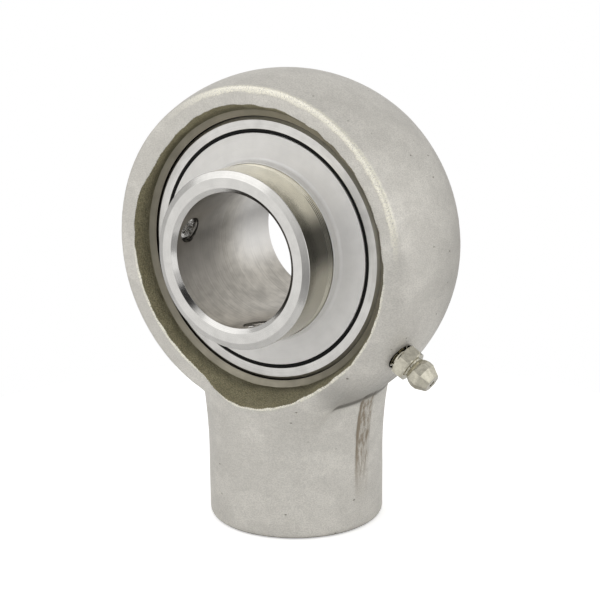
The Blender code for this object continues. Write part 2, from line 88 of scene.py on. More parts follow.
class HousingSizes(bpy.types.PropertyGroup):
    ball_radius: length("Ball radius", "Outside of the ball-shaped casting", 39.3)
    front_face: length("Front face", "Bearing centre to the flat front face", 13.7)
    rear_face: length("Rear face", "Bearing centre to the flat rear face", 16.0)
    rim_radius: length("Rim radius", "Outside of the machined rim beside the seat", 31.05)
    rim_depth: length("Rim distance", "Bearing centre to the machined rim", 9.9)
    seat_radius: length("Seat radius", "Spherical seat of the bearing", 31.3)
    neck_radius: length("Neck radius", "Outside of the threaded neck", 20.4)
    neck_flare: length("Neck flare", "Growth of the neck's half width towards the ball", 2.2)
    socket_radius: length("Socket radius", "Crests of the neck's inside thread", 12.05)
    socket_depth: length("Socket depth", "Depth of the threaded socket", 22.0)
    thread_pitch: length("Thread pitch", "Pitch of the neck's pipe thread", 1.814)
    grain: length("Casting grain", "Height of the casting's unevenness", 0.14)


class BearingSizes(bpy.types.PropertyGroup):
    bore_radius: length("Bore radius", "Half the shaft's diameter", 15.0)
    inner_radius: length("Inner ring radius", "Outside of the wide inner ring", 19.75)
    inner_front: length("Front length", "Bearing centre to the set screw end", 22.2)
    inner_rear: length("Rear length", "Bearing centre to the plain end", 15.9)
    ring_radius: length("Outer ring radius", "Spherical outside of the outer ring", 31.0)
    ring_face: length("Outer ring face", "Bearing centre to the outer ring's faces", 9.5)
    land_radius: length("Land radius", "Inside of the outer ring beside the raceway", 26.0)
    pitch_radius: length("Pitch radius", "Circle of the ball centres", 23.0)
    ball_radius: length("Ball radius", "Radius of the rolling balls", 4.7625)
    seal_seat: length("Seal seat radius", "Counterbore that holds the seal", 27.0)


class FinishColours(bpy.types.PropertyGroup):
    cast: colour("Cast skin", "Blasted stainless casting", 0.66, 0.64, 0.595)
    pocket: colour("Cast pocket", "Dark unfinished wall beside the bearing", 0.30, 0.275, 0.18)
    # this colour also serves the painted highlight on the pocket's torn edge
    ground: colour("Ground edges", "Worn and ground edges of the casting", 0.90, 0.87, 0.75)
    # painted shade: the machined seat and rim are coloured dark for the shade they lie in
    seat: colour("Seat", "Machined seat and rim in the casting", 0.27, 0.25, 0.20)
    bore: colour("Bore", "Ground bore with a brownish haze", 0.55, 0.52, 0.47)
    ring: colour("Ring steel", "Ground steel of both rings", 0.63, 0.62, 0.60)
    outside: colour("Ring outside", "Polished outside of the inner ring", 0.90, 0.86, 0.72)
    sheet: colour("Sheet steel", "Pressed stainless flingers", 0.80, 0.79, 0.775)
    nickel: colour("Nickel", "Plated grease nipple", 0.54, 0.515, 0.43)
    rubber: colour("Rubber", "Seal lips", 0.004, 0.004, 0.004)


# ---------------------------------------------------------------------------
# Mesh tools
# ---------------------------------------------------------------------------

def arc(radius, start, end, steps, out=0.0):
    """Points on a circle from start to end, in degrees, its centre some way out along X."""
    points = []
    for step in range(steps + 1):
        angle = math.radians(start + (end - start) * step / steps)
        points.append((out + radius * math.cos(angle), radius * math.sin(angle)))
    return points


def fillet(corner, before, after, radius, steps=5):
    """Points that round the corner between two straight runs of a profile."""
    corner, before, after = Vector(corner), Vector(before), Vector(after)
    to_before = (before - corner).normalized()
    to_after = (after - corner).normalized()
    half = to_before.angle(to_after) / 2.0
    reach = radius / math.tan(half)
    middle = corner + (to_before + to_after).normalized() * radius / math.sin(half)
    start = corner + to_before * reach - middle
    end = corner + to_after * reach - middle
    points = []
    for step in range(steps + 1):
        direction = start.lerp(end, step / steps).normalized() * radius
        points.append(tuple(middle + direction))
    return points


def rounded(profile):
    """Turn (radius, height, rounding) corners into plain profile points."""
    points = []
    for index, (radius, height, rounding) in enumerate(profile):
        if rounding <= 0.0:
            points.append((radius, height))
            continue
        before = profile[index - 1][:2]
        after = profile[(index + 1) % len(profile)][:2]
        points += fillet((radius, height), before, after, rounding)
    return points


def lathe(points, segments, closed=True, upright=False):
    """Turn (radius, forward) points about the shaft, or (radius, height) points about Z."""
    bm = bmesh.new()
    if upright:
        verts = [bm.verts.new((radius, 0.0, height)) for radius, height in points]
        axis = (0.0, 0.0, 1.0)
    else:
        verts = [bm.verts.new((radius, -forward, 0.0)) for radius, forward in points]
        axis = (0.0, 1.0, 0.0)
    pairs = list(zip(verts, verts[1:]))
    if closed:
        pairs.append((verts[-1], verts[0]))
    edges = [bm.edges.new(pair) for pair in pairs]
    bmesh.ops.spin(
        bm, geom=verts + edges, cent=(0.0, 0.0, 0.0), axis=axis, angle=FULL_TURN,
        steps=segments, use_merge=True, use_duplicate=False)
    bmesh.ops.remove_doubles(bm, verts=bm.verts, dist=1e-5)
    bmesh.ops.recalc_face_normals(bm, faces=bm.faces)
    return bm


def prism(sides, across_flats, bottom, top):
    """A closed upright prism."""
    radius = across_flats / 2.0 / math.cos(math.pi / sides)
    bm = bmesh.new()
    bmesh.ops.create_cone(
        bm, cap_ends=True, segments=sides, radius1=radius, radius2=radius, depth=top - bottom)
    bmesh.ops.translate(bm, vec=(0.0, 0.0, (top + bottom) / 2.0), verts=bm.verts)
    return bm


def mirrored(points, side):
    return [(point[0], side * point[1], *point[2:]) for point in points]


def bearing_place():
    """Millimetres about the bearing's centre to metres in the frame."""
    return Matrix.Translation(CENTRE) @ Matrix.Scale(MM, 4)


def radial_turn(angle, forward):
    """From a radial place to the bearing's own space, both in millimetres."""
    turn = math.radians(angle)
    outward = Vector((math.cos(turn), 0.0, math.sin(turn)))
    side = Vector((0.0, -1.0, 0.0))
    rotation = Matrix((side, outward.cross(side), outward)).transposed().to_4x4()
    return Matrix.Translation((0.0, -forward, 0.0)) @ rotation


def radial_place(angle, forward):
    """Millimetres in a radial place to metres in the frame."""
    return bearing_place() @ radial_turn(angle, forward)


def to_mesh(name, bm, place=None):
    if place is not None:
        bmesh.ops.transform(bm, matrix=place, verts=bm.verts)
    mesh = bpy.data.meshes.new(name)
    bm.to_mesh(mesh)
    bm.free()
    return mesh


def new_object(name, mesh, materials=()):
    for made in materials:
        mesh.materials.append(made)
    piece = bpy.data.objects.new(name, mesh)
    bpy.context.scene.collection.objects.link(piece)
    return piece


def evaluate(piece):
    """The piece's mesh with its modifiers applied; the modifiers go."""
    graph = bpy.context.evaluated_depsgraph_get()
    mesh = bpy.data.meshes.new_from_object(piece.evaluated_get(graph))
    piece.modifiers.clear()
    old = piece.data
    piece.data = mesh
    mesh.name = piece.name
    bpy.data.meshes.remove(old)
    return mesh


def cut(piece, tools, operation="DIFFERENCE"):
    """Use closed meshes as exact Boolean tools on the piece, keeping each tool's materials."""
    helpers = []
    for number, mesh in enumerate(tools):
        helper = new_object(f"{piece.name}_tool_{number}", mesh)
        helpers.append(helper)
        boolean = piece.modifiers.new("cut", "BOOLEAN")
        boolean.operation = operation
        boolean.object = helper
        boolean.solver = "EXACT"
        boolean.material_mode = "TRANSFER"
    evaluate(piece)
    for helper in helpers:
        mesh = helper.data
        bpy.data.objects.remove(helper, do_unlink=True)
        bpy.data.meshes.remove(mesh)


def finish_piece(piece, body, nodes, sharp=32.0):
    """Shade the piece, let it ride on its body and hide the CAD nodes it stands for."""
    piece.data.shade_smooth()
    piece.data.set_sharp_from_angle(angle=math.radians(sharp))
    flat = piece.modifiers.new("flat", "WEIGHTED_NORMAL")
    flat.keep_sharp = True
    evaluate(piece)
    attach(piece, body)
    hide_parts(*nodes)


def turned_piece(name, bm, place, body, nodes, materials, sharp=32.0):
    piece = new_object(name, to_mesh(name, bm, place), materials)
    finish_piece(piece, body, nodes, sharp)
    return piece


def scale_out(vert, share):
    """Move a vertex of an upright shape from or to the Z axis."""
    vert.co.x *= share
    vert.co.y *= share


def threaded(bm, low, high, crest, root, pitch, inside=False):
    """Cut a helical thread into the upright walls between two heights."""
    for vert in bm.verts:
        radius = math.hypot(vert.co.x, vert.co.y)
        if radius < root - THREAD_MARGIN or not low < vert.co.z < high:
            continue
        turn = math.atan2(vert.co.y, vert.co.x) / FULL_TURN
        phase = (vert.co.z / pitch - turn) % 1.0
        depth = abs(2.0 * phase - 1.0)
        fade = min(1.0, (vert.co.z - low) / pitch, (high - vert.co.z) / pitch)
        share = depth * fade if inside else 1.0 - depth * fade
        scale_out(vert, (root + (crest - root) * share) / radius)


def column(bottom, top, radius, rows):
    """Profile points up a straight wall, evenly spaced."""
    return [(radius, bottom + (top - bottom) * row / rows) for row in range(rows + 1)]


# ---------------------------------------------------------------------------
# Shader tools
# ---------------------------------------------------------------------------

def add_node(tree, kind, inputs=None, **settings):
    made = tree.nodes.new(kind)
    for key, value in settings.items():
        setattr(made, key, value)
    for key, value in (inputs or {}).items():
        connect(tree, value, made.inputs[key])
    return made


def connect(tree, value, socket):
    if isinstance(value, bpy.types.NodeSocket):
        tree.links.new(value, socket)
    else:
        socket.default_value = value


def maths(tree, operation, first, second=0.0, third=0.0, clamp=False):
    made = add_node(
        tree, "ShaderNodeMath", {0: first, 1: second, 2: third}, operation=operation,
        use_clamp=clamp)
    return made.outputs[0]


def ramp(tree, value, low, high, out_low=0.0, out_high=1.0):
    """Map a value smoothly from one span to another."""
    made = add_node(
        tree, "ShaderNodeMapRange",
        {"Value": value, "From Min": low, "From Max": high, "To Min": out_low, "To Max": out_high},
        interpolation_type="SMOOTHSTEP")
    return made.outputs["Result"]


def mix(tree, share, first, second):
    """Mix two colours."""
    made = add_node(tree, "ShaderNodeMix", {0: share, 6: first, 7: second}, data_type="RGBA")
    return made.outputs[2]


def rgba(shade, scale=1.0):
    return (*(min(channel * scale, 1.0) for channel in shade), 1.0)


def noise_value(tree, point, scale, detail=3.0, roughness=0.5, distortion=0.0):
    made = add_node(
        tree, "ShaderNodeTexNoise",
        {"Vector": point, "Scale": scale, "Detail": detail, "Roughness": roughness,
         "Distortion": distortion})
    return made.outputs["Fac"]


def group_tree(name, inputs, outputs):
    """A new shader node group with float or vector sockets, its input and output nodes."""
    tree = bpy.data.node_groups.new(name, "ShaderNodeTree")
    for label, value in inputs.items():
        kind = "NodeSocketVector" if value is None else "NodeSocketFloat"
        socket = tree.interface.new_socket(name=label, in_out="INPUT", socket_type=kind)
        if value is not None:
            socket.default_value = value
    for label in outputs:
        kind = "NodeSocketVector" if label == "Point" else "NodeSocketFloat"
        tree.interface.new_socket(name=label, in_out="OUTPUT", socket_type=kind)
    return tree, tree.nodes.new("NodeGroupInput").outputs, tree.nodes.new("NodeGroupOutput").inputs


def times(tree, *values):
    """Product of numbers and sockets."""
    total = values[0]
    for value in values[1:]:
        total = maths(tree, "MULTIPLY", total, value)
    return total


def plus(tree, first, second):
    return maths(tree, "ADD", first, second)


def minus(tree, first, second):
    return maths(tree, "SUBTRACT", first, second)


def absolute(tree, value):
    return maths(tree, "ABSOLUTE", value)


def axes(tree, point):
    """The X, Y and Z sockets of a point."""
    return tuple(add_node(tree, "ShaderNodeSeparateXYZ", {0: point}).outputs)


GRAIN_SPAN = (0.38, 0.62)    # spans of noise that a tone crosses
MARKS_SPAN = (0.35, 0.65)
WIDE_SPAN = (0.3, 0.7)


def tone(tree, value, span, shade, low, high):
    """A colour between two strengths of a shade, as a value crosses its span."""
    return mix(tree, ramp(tree, value, *span), rgba(shade, low), rgba(shade, high))


def build_shaft_space():
    """Object coordinates to millimetres about the bearing's centre, radius and forward."""
    tree, _, result = group_tree("shaft_space", {}, ("Point", "Radius", "Forward"))
    coordinates = add_node(tree, "ShaderNodeTexCoord").outputs["Object"]
    moved = add_node(
        tree, "ShaderNodeVectorMath", {0: coordinates, 1: CENTRE}, operation="SUBTRACT")
    scaled = add_node(
        tree, "ShaderNodeVectorMath", {0: moved.outputs[0], "Scale": 1.0 / MM}, operation="SCALE")
    x, y, z = axes(tree, scaled.outputs[0])
    squares = plus(tree, times(tree, x, x), times(tree, z, z))
    tree.links.new(scaled.outputs[0], result["Point"])
    tree.links.new(maths(tree, "SQRT", squares), result["Radius"])
    tree.links.new(times(tree, y, -1.0), result["Forward"])
    return tree


PITTED_CELLS = (0.72, 0.78)  # which of the cells hold a pit
PIT_EDGE = (0.16, 0.05)
FINE_SHARE = 0.8             # of the fine grain in a casting's shade


def build_cast_grain():
    """Fine blasted grain, soft blotches and sparse pits of a casting."""
    tree, given, result = group_tree(
        "cast_grain", {"Point": None, "Grain": 2.2, "Blotch": 0.12, "Pits": 0.5},
        ("Height", "Shade", "Pit"))
    point = given["Point"]
    fine = noise_value(tree, point, given["Grain"], 4.0, 0.6)
    soft = noise_value(tree, point, given["Blotch"], 3.0, 0.55, 0.4)
    cells = add_node(
        tree, "ShaderNodeTexVoronoi", {"Vector": point, "Scale": given["Pits"], "Randomness": 1.0},
        feature="F1")
    chosen = ramp(tree, cells.outputs["Color"], *PITTED_CELLS)
    pit = times(tree, ramp(tree, cells.outputs["Distance"], *PIT_EDGE), chosen)
    shade = plus(tree, times(tree, soft, 1.0 - FINE_SHARE), times(tree, fine, FINE_SHARE))
    tree.links.new(minus(tree, fine, pit), result["Height"])
    tree.links.new(shade, result["Shade"])
    tree.links.new(pit, result["Pit"])
    return tree


RING_WANDER = 0.015          # how far a turned ring strays, in millimetres
LINE_WANDER = 0.01


def build_turning_marks():
    """Fine rings left by turning and grinding, with a little unevenness around."""
    tree, given, result = group_tree(
        "turning_marks", {"Point": None, "Radius": 0.0, "Forward": 0.0, "Density": 6.0},
        ("Height", "Shade"))
    wander = noise_value(tree, given["Point"], 0.25, 2.0)
    across = plus(tree, given["Radius"], times(tree, wander, RING_WANDER))
    along = plus(tree, given["Forward"], times(tree, wander, LINE_WANDER))
    rings = add_node(tree, "ShaderNodeCombineXYZ", {0: across, 1: along, 2: 0.0}).outputs[0]
    lines = noise_value(tree, rings, given["Density"], 4.0, 0.7)
    patches = noise_value(tree, given["Point"], 0.35, 3.0)
    shade = plus(tree, times(tree, lines, 0.5), times(tree, patches, 0.5))
    tree.links.new(lines, result["Height"])
    tree.links.new(shade, result["Shade"])
    return tree


def build_ragged_band():
    """A band about zero distance with a torn outline, used for wear and for painted highlight."""
    tree, given, result = group_tree(
        "ragged_band", {"Point": None, "Distance": 0.0, "Width": 0.6, "Torn": 0.5}, ("Mask",))
    coarse = noise_value(tree, given["Point"], 0.55, 4.0, 0.65)
    shift = times(tree, minus(tree, coarse, 0.5), given["Torn"], 4.0)
    away = absolute(tree, plus(tree, given["Distance"], shift))
    inner = times(tree, given["Width"], 0.5)
    tree.links.new(ramp(tree, away, given["Width"], inner), result["Mask"])
    return tree


GROUP_BUILDERS = {
    "shaft_space": build_shaft_space, "cast_grain": build_cast_grain,
    "turning_marks": build_turning_marks, "ragged_band": build_ragged_band}
GROUPS = {}


def use_group(tree, name, inputs=None):
    if name not in GROUPS:
        GROUPS[name] = GROUP_BUILDERS[name]()
    made = tree.nodes.new("ShaderNodeGroup")
    made.node_tree = GROUPS[name]
    for key, value in (inputs or {}).items():
        connect(tree, value, made.inputs[key])
    return made.outputs


def new_material(name, metallic):
    """A material with its tree, its Principled shader and its place in the bearing's space."""
    made = bpy.data.materials.new(name)
    made.use_nodes = True
    tree = made.node_tree
    shader = tree.nodes["Principled BSDF"]
    shader.inputs["Metallic"].default_value = metallic
    return made, tree, shader, use_group(tree, "shaft_space")


def dress(tree, shader, tint, roughness, height, depth):
    """Give the shader its colour, its roughness and a bump of a depth in millimetres."""
    connect(tree, tint, shader.inputs["Base Color"])
    connect(tree, roughness, shader.inputs["Roughness"])
    made = add_node(
        tree, "ShaderNodeBump", {"Height": height, "Strength": 1.0, "Distance": depth * MM})
    tree.links.new(made.outputs["Normal"], shader.inputs["Normal"])


def colours():
    return bpy.context.scene.bearing_finishes


WORN_INSET = 0.55            # middle of the worn band, inside the face's outer edge
WORN_WIDTH = 1.1
WORN_TORN = 0.32
WORN_ACROSS = (-26.0, -6.0)  # it fades in to the right and upwards
WORN_UP = (-4.0, 12.0)
WORN_FROM_FACE = (-1.1, -0.3)
TORN_HIGHLIGHT_OUTSET = 0.15           # painted highlight on the torn edge, outside the pocket's wall
TORN_HIGHLIGHT_WIDTH = 0.55
TORN_HIGHLIGHT_RAGGED = 0.12
TORN_HIGHLIGHT_UP = (2.0, -8.0)
TORN_HIGHLIGHT_FROM_FACE = (-0.8, -0.3)


def wear_and_edge_highlight(tree, space, sizes):
    """Mask of the band worn on the face's outer edge and of the painted highlight on the pocket's
    torn edge.
    """
    x, _, z = axes(tree, space["Point"])
    front = mm(sizes.front_face)
    from_face = minus(tree, space["Forward"], front)
    edge = math.sqrt(mm(sizes.ball_radius) ** 2 - front ** 2)
    outer = use_group(tree, "ragged_band", {
        "Point": space["Point"], "Distance": minus(tree, space["Radius"], edge - WORN_INSET),
        "Width": WORN_WIDTH, "Torn": WORN_TORN})["Mask"]
    outer = times(
        tree, outer, ramp(tree, from_face, *WORN_FROM_FACE), ramp(tree, x, *WORN_ACROSS),
        ramp(tree, z, *WORN_UP))
    start = mm(sizes.rim_radius) + POCKET_STEP - POCKET_SLOPE * mm(sizes.rim_depth)
    # painted highlight along the pocket's torn edge, on its lower side
    wall = plus(tree, times(tree, space["Forward"], POCKET_SLOPE), start + TORN_HIGHLIGHT_OUTSET)
    inner = use_group(tree, "ragged_band", {
        "Point": space["Point"], "Distance": minus(tree, space["Radius"], wall),
        "Width": TORN_HIGHLIGHT_WIDTH, "Torn": TORN_HIGHLIGHT_RAGGED})["Mask"]
    inner = times(tree, inner, ramp(tree, from_face, *TORN_HIGHLIGHT_FROM_FACE), ramp(tree, z, *TORN_HIGHLIGHT_UP))
    return maths(tree, "MAXIMUM", outer, inner)


STAIN_BROWN = (0.22, 0.17, 0.11, 1.0)
STAIN_DRAWN = (1.0, 1.0, 0.22)          # streaks are drawn out along the neck
STAIN_FOOT = (-60.0, -44.0)
STAIN_HEAD = (-30.0, -33.0)
STAIN_ACROSS = (8.0, 12.0)
STAIN_REAR = (0.2, 1.6)
STAIN_LINE = (0.75, 0.15)


def parting_stain(tree, space):
    """Mask of the brown stain behind the parting groove, and of its dark line."""
    x, _, z = axes(tree, space["Point"])
    drawn = add_node(
        tree, "ShaderNodeMapping", {"Vector": space["Point"], "Scale": STAIN_DRAWN}).outputs[0]
    wander = noise_value(tree, drawn, 0.5, 3.0)
    ahead = minus(tree, minus(tree, space["Forward"], NECK_FORWARD), wander)
    line = ramp(tree, absolute(tree, minus(tree, ahead, GROOVE_AHEAD - 0.6)), *STAIN_LINE)
    area = times(tree, ramp(tree, ahead, *STAIN_REAR),
                 ramp(tree, ahead, GROOVE_AHEAD + 0.4, GROOVE_AHEAD - 0.6))
    specks = ramp(tree, noise_value(tree, drawn, 1.5, 5.0, 0.7), 0.40, 0.62, 0.25, 1.0)
    stain = maths(tree, "MAXIMUM", line, times(tree, area, specks))
    return times(
        tree, stain, ramp(tree, z, *STAIN_FOOT), ramp(tree, z, *STAIN_HEAD),
        ramp(tree, x, *STAIN_ACROSS))


# painted shade in the scoop under the ball
SCOOP_SHADE_UP = (-22.0, -31.0)
SCOOP_SHADE_ACROSS = (14.0, 21.0)
# painted shade along the crease between ball and neck
CREASE_SHADE_GREY = (0.13, 0.12, 0.10, 1.0)
CREASE_SHADE_UP = (-20.0, -24.0)
CREASE_SHADE_ACROSS = (12.5, 14.5)
CREASE_SHADE_REACH = (1.1, 0.35)


def shade_under_ball(tree, space, sizes):
    """Masks of the painted shade in the scoop under the ball and along the crease between ball and
    neck.
    """
    x, _, z = axes(tree, space["Point"])
    ball = mm(sizes.ball_radius)
    beyond = add_node(
        tree, "ShaderNodeVectorMath", {0: space["Point"]}, operation="LENGTH").outputs["Value"]
    # painted shade in the scoop under the ball, beside the neck
    scoop = times(
        tree, ramp(tree, z, *SCOOP_SHADE_UP), ramp(tree, x, *SCOOP_SHADE_ACROSS),
        ramp(tree, beyond, ball + 1.0, ball + 0.2))
    radius = mm(sizes.neck_radius)
    half_width = radius + mm(sizes.neck_flare)
    across = maths(tree, "DIVIDE", x, half_width)
    ahead = maths(tree, "DIVIDE", minus(tree, space["Forward"], NECK_FORWARD), radius)
    squares = plus(tree, times(tree, across, across), times(tree, ahead, ahead))
    from_neck = absolute(tree, minus(tree, maths(tree, "SQRT", squares), 1.0))
    from_ball = absolute(tree, minus(tree, beyond, ball))
    away = plus(tree, times(tree, from_neck, half_width), from_ball)
    # painted shade along the crease between ball and neck
    crease = times(
        tree, ramp(tree, away, *CREASE_SHADE_REACH), ramp(tree, x, *CREASE_SHADE_ACROSS),
        ramp(tree, z, *CREASE_SHADE_UP))
    return scoop, crease


FOOT_SHADOW = (0.75, 0.15)    # painted contact shadow: dark line along the neck's lower edge, above its end
CAST_FLOW = (1.0, 1.0, 1.5)


def cast_skin():
    """Blasted outside of the casting: grain, soft patches, pits, worn edges and stains."""
    sizes = bpy.context.scene.bearing_housing
    made, tree, shader, space = new_material("cast_skin", 0.70)
    cast = colours().cast
    flow = add_node(
        tree, "ShaderNodeMapping", {"Vector": space["Point"], "Scale": CAST_FLOW}).outputs[0]
    grain = use_group(tree, "cast_grain", {
        "Point": flow, "Grain": 2.8, "Blotch": 0.45, "Pits": 0.4})
    skin = tone(tree, grain["Shade"], GRAIN_SPAN, cast, 0.92, 1.12)
    broad = ramp(tree, noise_value(tree, flow, 0.10, 3.0, 0.55), 0.62, 0.40, 0.0, 0.22)
    skin = mix(tree, broad, skin, rgba(cast, 0.62))
    skin = mix(tree, times(tree, grain["Pit"], 0.8), skin, rgba(colours().pocket, 0.4))
    skin = mix(tree, times(tree, parting_stain(tree, space), 0.85), skin, STAIN_BROWN)
    # painted contact shadow, darker along the neck's lower edge
    above_foot = plus(tree, axes(tree, space["Point"])[2], SHAFT_HEIGHT)
    foot = ramp(tree, above_foot, *FOOT_SHADOW, 0.0, 0.75)
    skin = mix(tree, foot, skin, rgba(colours().pocket, 0.35))
    scoop, crease = shade_under_ball(tree, space, sizes)
    # painted shade under the ball
    skin = mix(tree, times(tree, scoop, 0.5), skin, rgba(cast, 0.35))
    # painted shade along the crease between ball and neck
    skin = mix(tree, times(tree, crease, 0.8), skin, CREASE_SHADE_GREY)
    # worn band on the face's outer edge and painted highlight on the pocket's torn edge
    worn = wear_and_edge_highlight(tree, space, sizes)
    scratched = ramp(tree, noise_value(tree, space["Point"], 2.8, 5.0, 0.8), 0.42, 0.53, 0.15, 1.0)
    skin = mix(tree, times(tree, worn, scratched), skin, rgba(colours().ground))
    rough = minus(
        tree, ramp(tree, grain["Shade"], *WIDE_SPAN, 0.52, 0.44), times(tree, worn, 0.18))
    height = plus(tree, grain["Height"], times(tree, worn, 0.5))
    dress(tree, shader, skin, rough, height, 0.13)
    return made


POCKET_SHADOW = (12.8, 10.2)   # painted shadow of the ring: the pocket darkens from its edge to the rim


def cast_pocket():
    """Dark, coarse cast wall beside the bearing."""
    made, tree, shader, space = new_material("cast_pocket", 0.7)
    grain = use_group(tree, "cast_grain", {
        "Point": space["Point"], "Grain": 2.8, "Blotch": 0.2, "Pits": 0.9})
    specks = noise_value(tree, space["Point"], 3.5, 3.0, 0.7)
    shade = plus(tree, times(tree, grain["Shade"], 0.35), times(tree, specks, 0.65))
    skin = tone(tree, shade, GRAIN_SPAN, colours().pocket, 0.68, 1.40)
    # painted shadow of the ring, darkening the pocket towards the rim
    ring_shadow = ramp(tree, space["Forward"], *POCKET_SHADOW, 0.0, 0.65)
    skin = mix(tree, ring_shadow, skin, rgba(colours().pocket, 0.32))
    dress(tree, shader, skin, 0.62, grain["Height"], 0.25)
    return made


def turned_steel(name, shade, roughness, density=6.0, depth=0.01, metallic=1.0, spread=0.12):
    """Turned or ground steel with fine rings."""
    made, tree, shader, space = new_material(name, metallic)
    marks = use_group(tree, "turning_marks", {
        "Point": space["Point"], "Radius": space["Radius"], "Forward": space["Forward"],
        "Density": density})
    tint = tone(tree, marks["Shade"], MARKS_SPAN, shade, 1.0 - spread, 1.0 + spread / 2.0)
    rough = ramp(tree, marks["Shade"], *WIDE_SPAN, roughness * 1.12, roughness * 0.9)
    dress(tree, shader, tint, rough, marks["Height"], depth)
    return made


# painted shade in the bore
BORE_SHADE_AHEAD = (-6.0, 11.0)
BORE_SHADE_UP = (-15.0, -3.0)
# painted light in the bore
BORE_LIT_AHEAD = (4.0, -8.0)
BORE_LIT_UP = (-11.0, -2.0)


def ring_bore():
    """Ground bore under a brownish haze, with painted shade towards the set screws and painted
    light towards the rear.
    """
    made, tree, shader, space = new_material("ring_bore", 1.0)
    bore = colours().bore
    marks = use_group(tree, "turning_marks", {
        "Point": space["Point"], "Radius": 0.0, "Forward": space["Forward"], "Density": 2.0})
    height = axes(tree, space["Point"])[2]
    # painted shade, darker towards the front and top
    dark = times(
        tree, ramp(tree, space["Forward"], *BORE_SHADE_AHEAD), ramp(tree, height, *BORE_SHADE_UP))
    # painted light, brighter towards the rear and top
    bore_lit = times(
        tree, ramp(tree, space["Forward"], *BORE_LIT_AHEAD), ramp(tree, height, *BORE_LIT_UP))
    tint = tone(tree, marks["Shade"], MARKS_SPAN, bore, 0.74, 1.15)
    tint = mix(tree, times(tree, dark, 0.85), tint, rgba(bore, 0.30))
    tint = mix(tree, times(tree, bore_lit, 0.8), tint, rgba(colours().sheet))
    dress(tree, shader, tint, 0.30, marks["Height"], 0.004)
    return made


DARK_REFLECTION_TOP = (0.75, 0.25)      # painted dark reflection: angles round the shaft in radians, from the right upwards
DARK_REFLECTION_LEFT = (-2.6, -1.8)
DARK_REFLECTION_MIDDLE = 0.26
DARK_REFLECTION_CORE = (0.42, 0.10)


def ring_outside():
    """Polished outside of the inner ring, with a painted dark reflection on its right side."""
    made, tree, shader, space = new_material("ring_outside", 1.0)
    outside = colours().outside
    marks = use_group(tree, "turning_marks", {
        "Point": space["Point"], "Radius": 0.0, "Forward": space["Forward"], "Density": 4.0})
    x, _, z = axes(tree, space["Point"])
    angle = maths(tree, "ARCTAN2", z, x)
    # painted dark reflection on the right side, darkest in its core
    haze = times(tree, ramp(tree, angle, *DARK_REFLECTION_TOP), ramp(tree, angle, *DARK_REFLECTION_LEFT))
    core = ramp(tree, absolute(tree, minus(tree, angle, DARK_REFLECTION_MIDDLE)), *DARK_REFLECTION_CORE)
    tint = tone(tree, marks["Shade"], MARKS_SPAN, outside, 0.90, 1.06)
    tint = mix(tree, times(tree, haze, 0.60), tint, rgba(outside, 0.35))
    tint = mix(tree, times(tree, core, 0.92), tint, rgba(outside, 0.08))
    dress(tree, shader, tint, 0.20, marks["Height"], 0.005)
    return made


def plain_metal(name, shade, roughness, grain_scale=3.0, depth=0.01):
    """Small metal parts with a light grain."""
    made, tree, shader, space = new_material(name, 1.0)
    grain = use_group(tree, "cast_grain", {
        "Point": space["Point"], "Grain": grain_scale, "Blotch": 0.6, "Pits": 1.0})
    tint = tone(tree, grain["Shade"], MARKS_SPAN, shade, 0.85, 1.08)
    rough = ramp(tree, grain["Shade"], *WIDE_SPAN, roughness * 1.3, roughness * 0.8)
    dress(tree, shader, tint, rough, grain["Height"], depth)
    return made


def seal_rubber():
    """Matt black rubber."""
    made, tree, shader, space = new_material("seal_rubber", 0.0)
    grain = use_group(tree, "cast_grain", {"Point": space["Point"], "Grain": 5.0, "Blotch": 0.8})
    tint = tone(tree, grain["Shade"], WIDE_SPAN, colours().rubber, 1.0, 2.0)
    shader.inputs["Specular IOR Level"].default_value = 0.12
    dress(tree, shader, tint, 0.5, grain["Height"], 0.02)
    return made


# ---------------------------------------------------------------------------
# Housing
# ---------------------------------------------------------------------------

FACE_ROUNDING = 0.5
SOFT_ROUNDING = 6.0          # the face's edge at the lower right, where it runs into the ball
SOFT_START = (-22.0, 12.0)   # where that begins and ends, in degrees below the right
SOFT_END = (-120.0, -80.0)
NECK_EDGE_ROUNDING = 1.3
NECK_TOP_ROUNDING = 2.0
SIDE_CREASE = 1.6            # width of the fillet between ball and neck
FRONT_CREASE = 7.0           # the same where the neck runs into the front face on the right
CREASE_AHEAD = (8.5, 12.5)
CREASE_RIGHT = (-3.0, 6.0)
FLARE_START = 15.0
FLARE_END = 34.0
NECK_INSIDE = 27.0           # the neck's hidden end, below the bearing's centre
POCKET_STEP = 0.3            # from the rim out to the foot of the pocket's wall
POCKET_SLOPE = 0.39
POCKET_REACH = 30.0
POCKET_ROWS = 34
POCKET_SEGMENTS = 440
POCKET_WAVES = ((0.3, 0.35), (0.9, 0.12), (2.2, 0.05))      # scale and height
POCKET_LOBES = (             # angle, spread and growth
    (140.0, 20.0, -1.2), (168.0, 8.0, 0.4), (252.0, 10.0, 0.4))
RIM_CHAMFER = 0.6            # slanted rim between the seat and the pocket
VOXEL = 0.5
SNAP_ROUNDS = 4
SKIN_INSET = 0.08            # keeps the uneven skin inside its nominal size
FACE_RELIEF = 0.25           # share of the unevenness on the flat faces
RELIEF_WAVES = (             # scale, share and offset of the skin's waves
    (0.09, 0.30, (0.0, 0.0, 0.0)), (0.33, 0.07, (7.0, 3.0, 1.0)), (1.1, 0.10, (2.0, 9.0, 5.0)))
NORMAL_STEP = 0.05
GROOVE_AHEAD = 5.2           # parting groove, in front of the neck's own axis
GROOVE_WIDTH = 0.45
GROOVE_DEPTH = 0.34
GROOVE_RISE = (8.0, 26.0)    # heights above the neck's end over which it fades in
GROOVE_TOP = -24.0


def smooth_larger(first, second, width):
    share = np.maximum(width - np.abs(first - second), 0.0) / width
    return np.maximum(first, second) + share * share * width / 4.0


def smooth_smaller(first, second, width):
    return -smooth_larger(-first, -second, width)


def smooth_step(value, low, high):
    share = np.clip((value - low) / (high - low), 0.0, 1.0)
    return share * share * (3.0 - 2.0 * share)


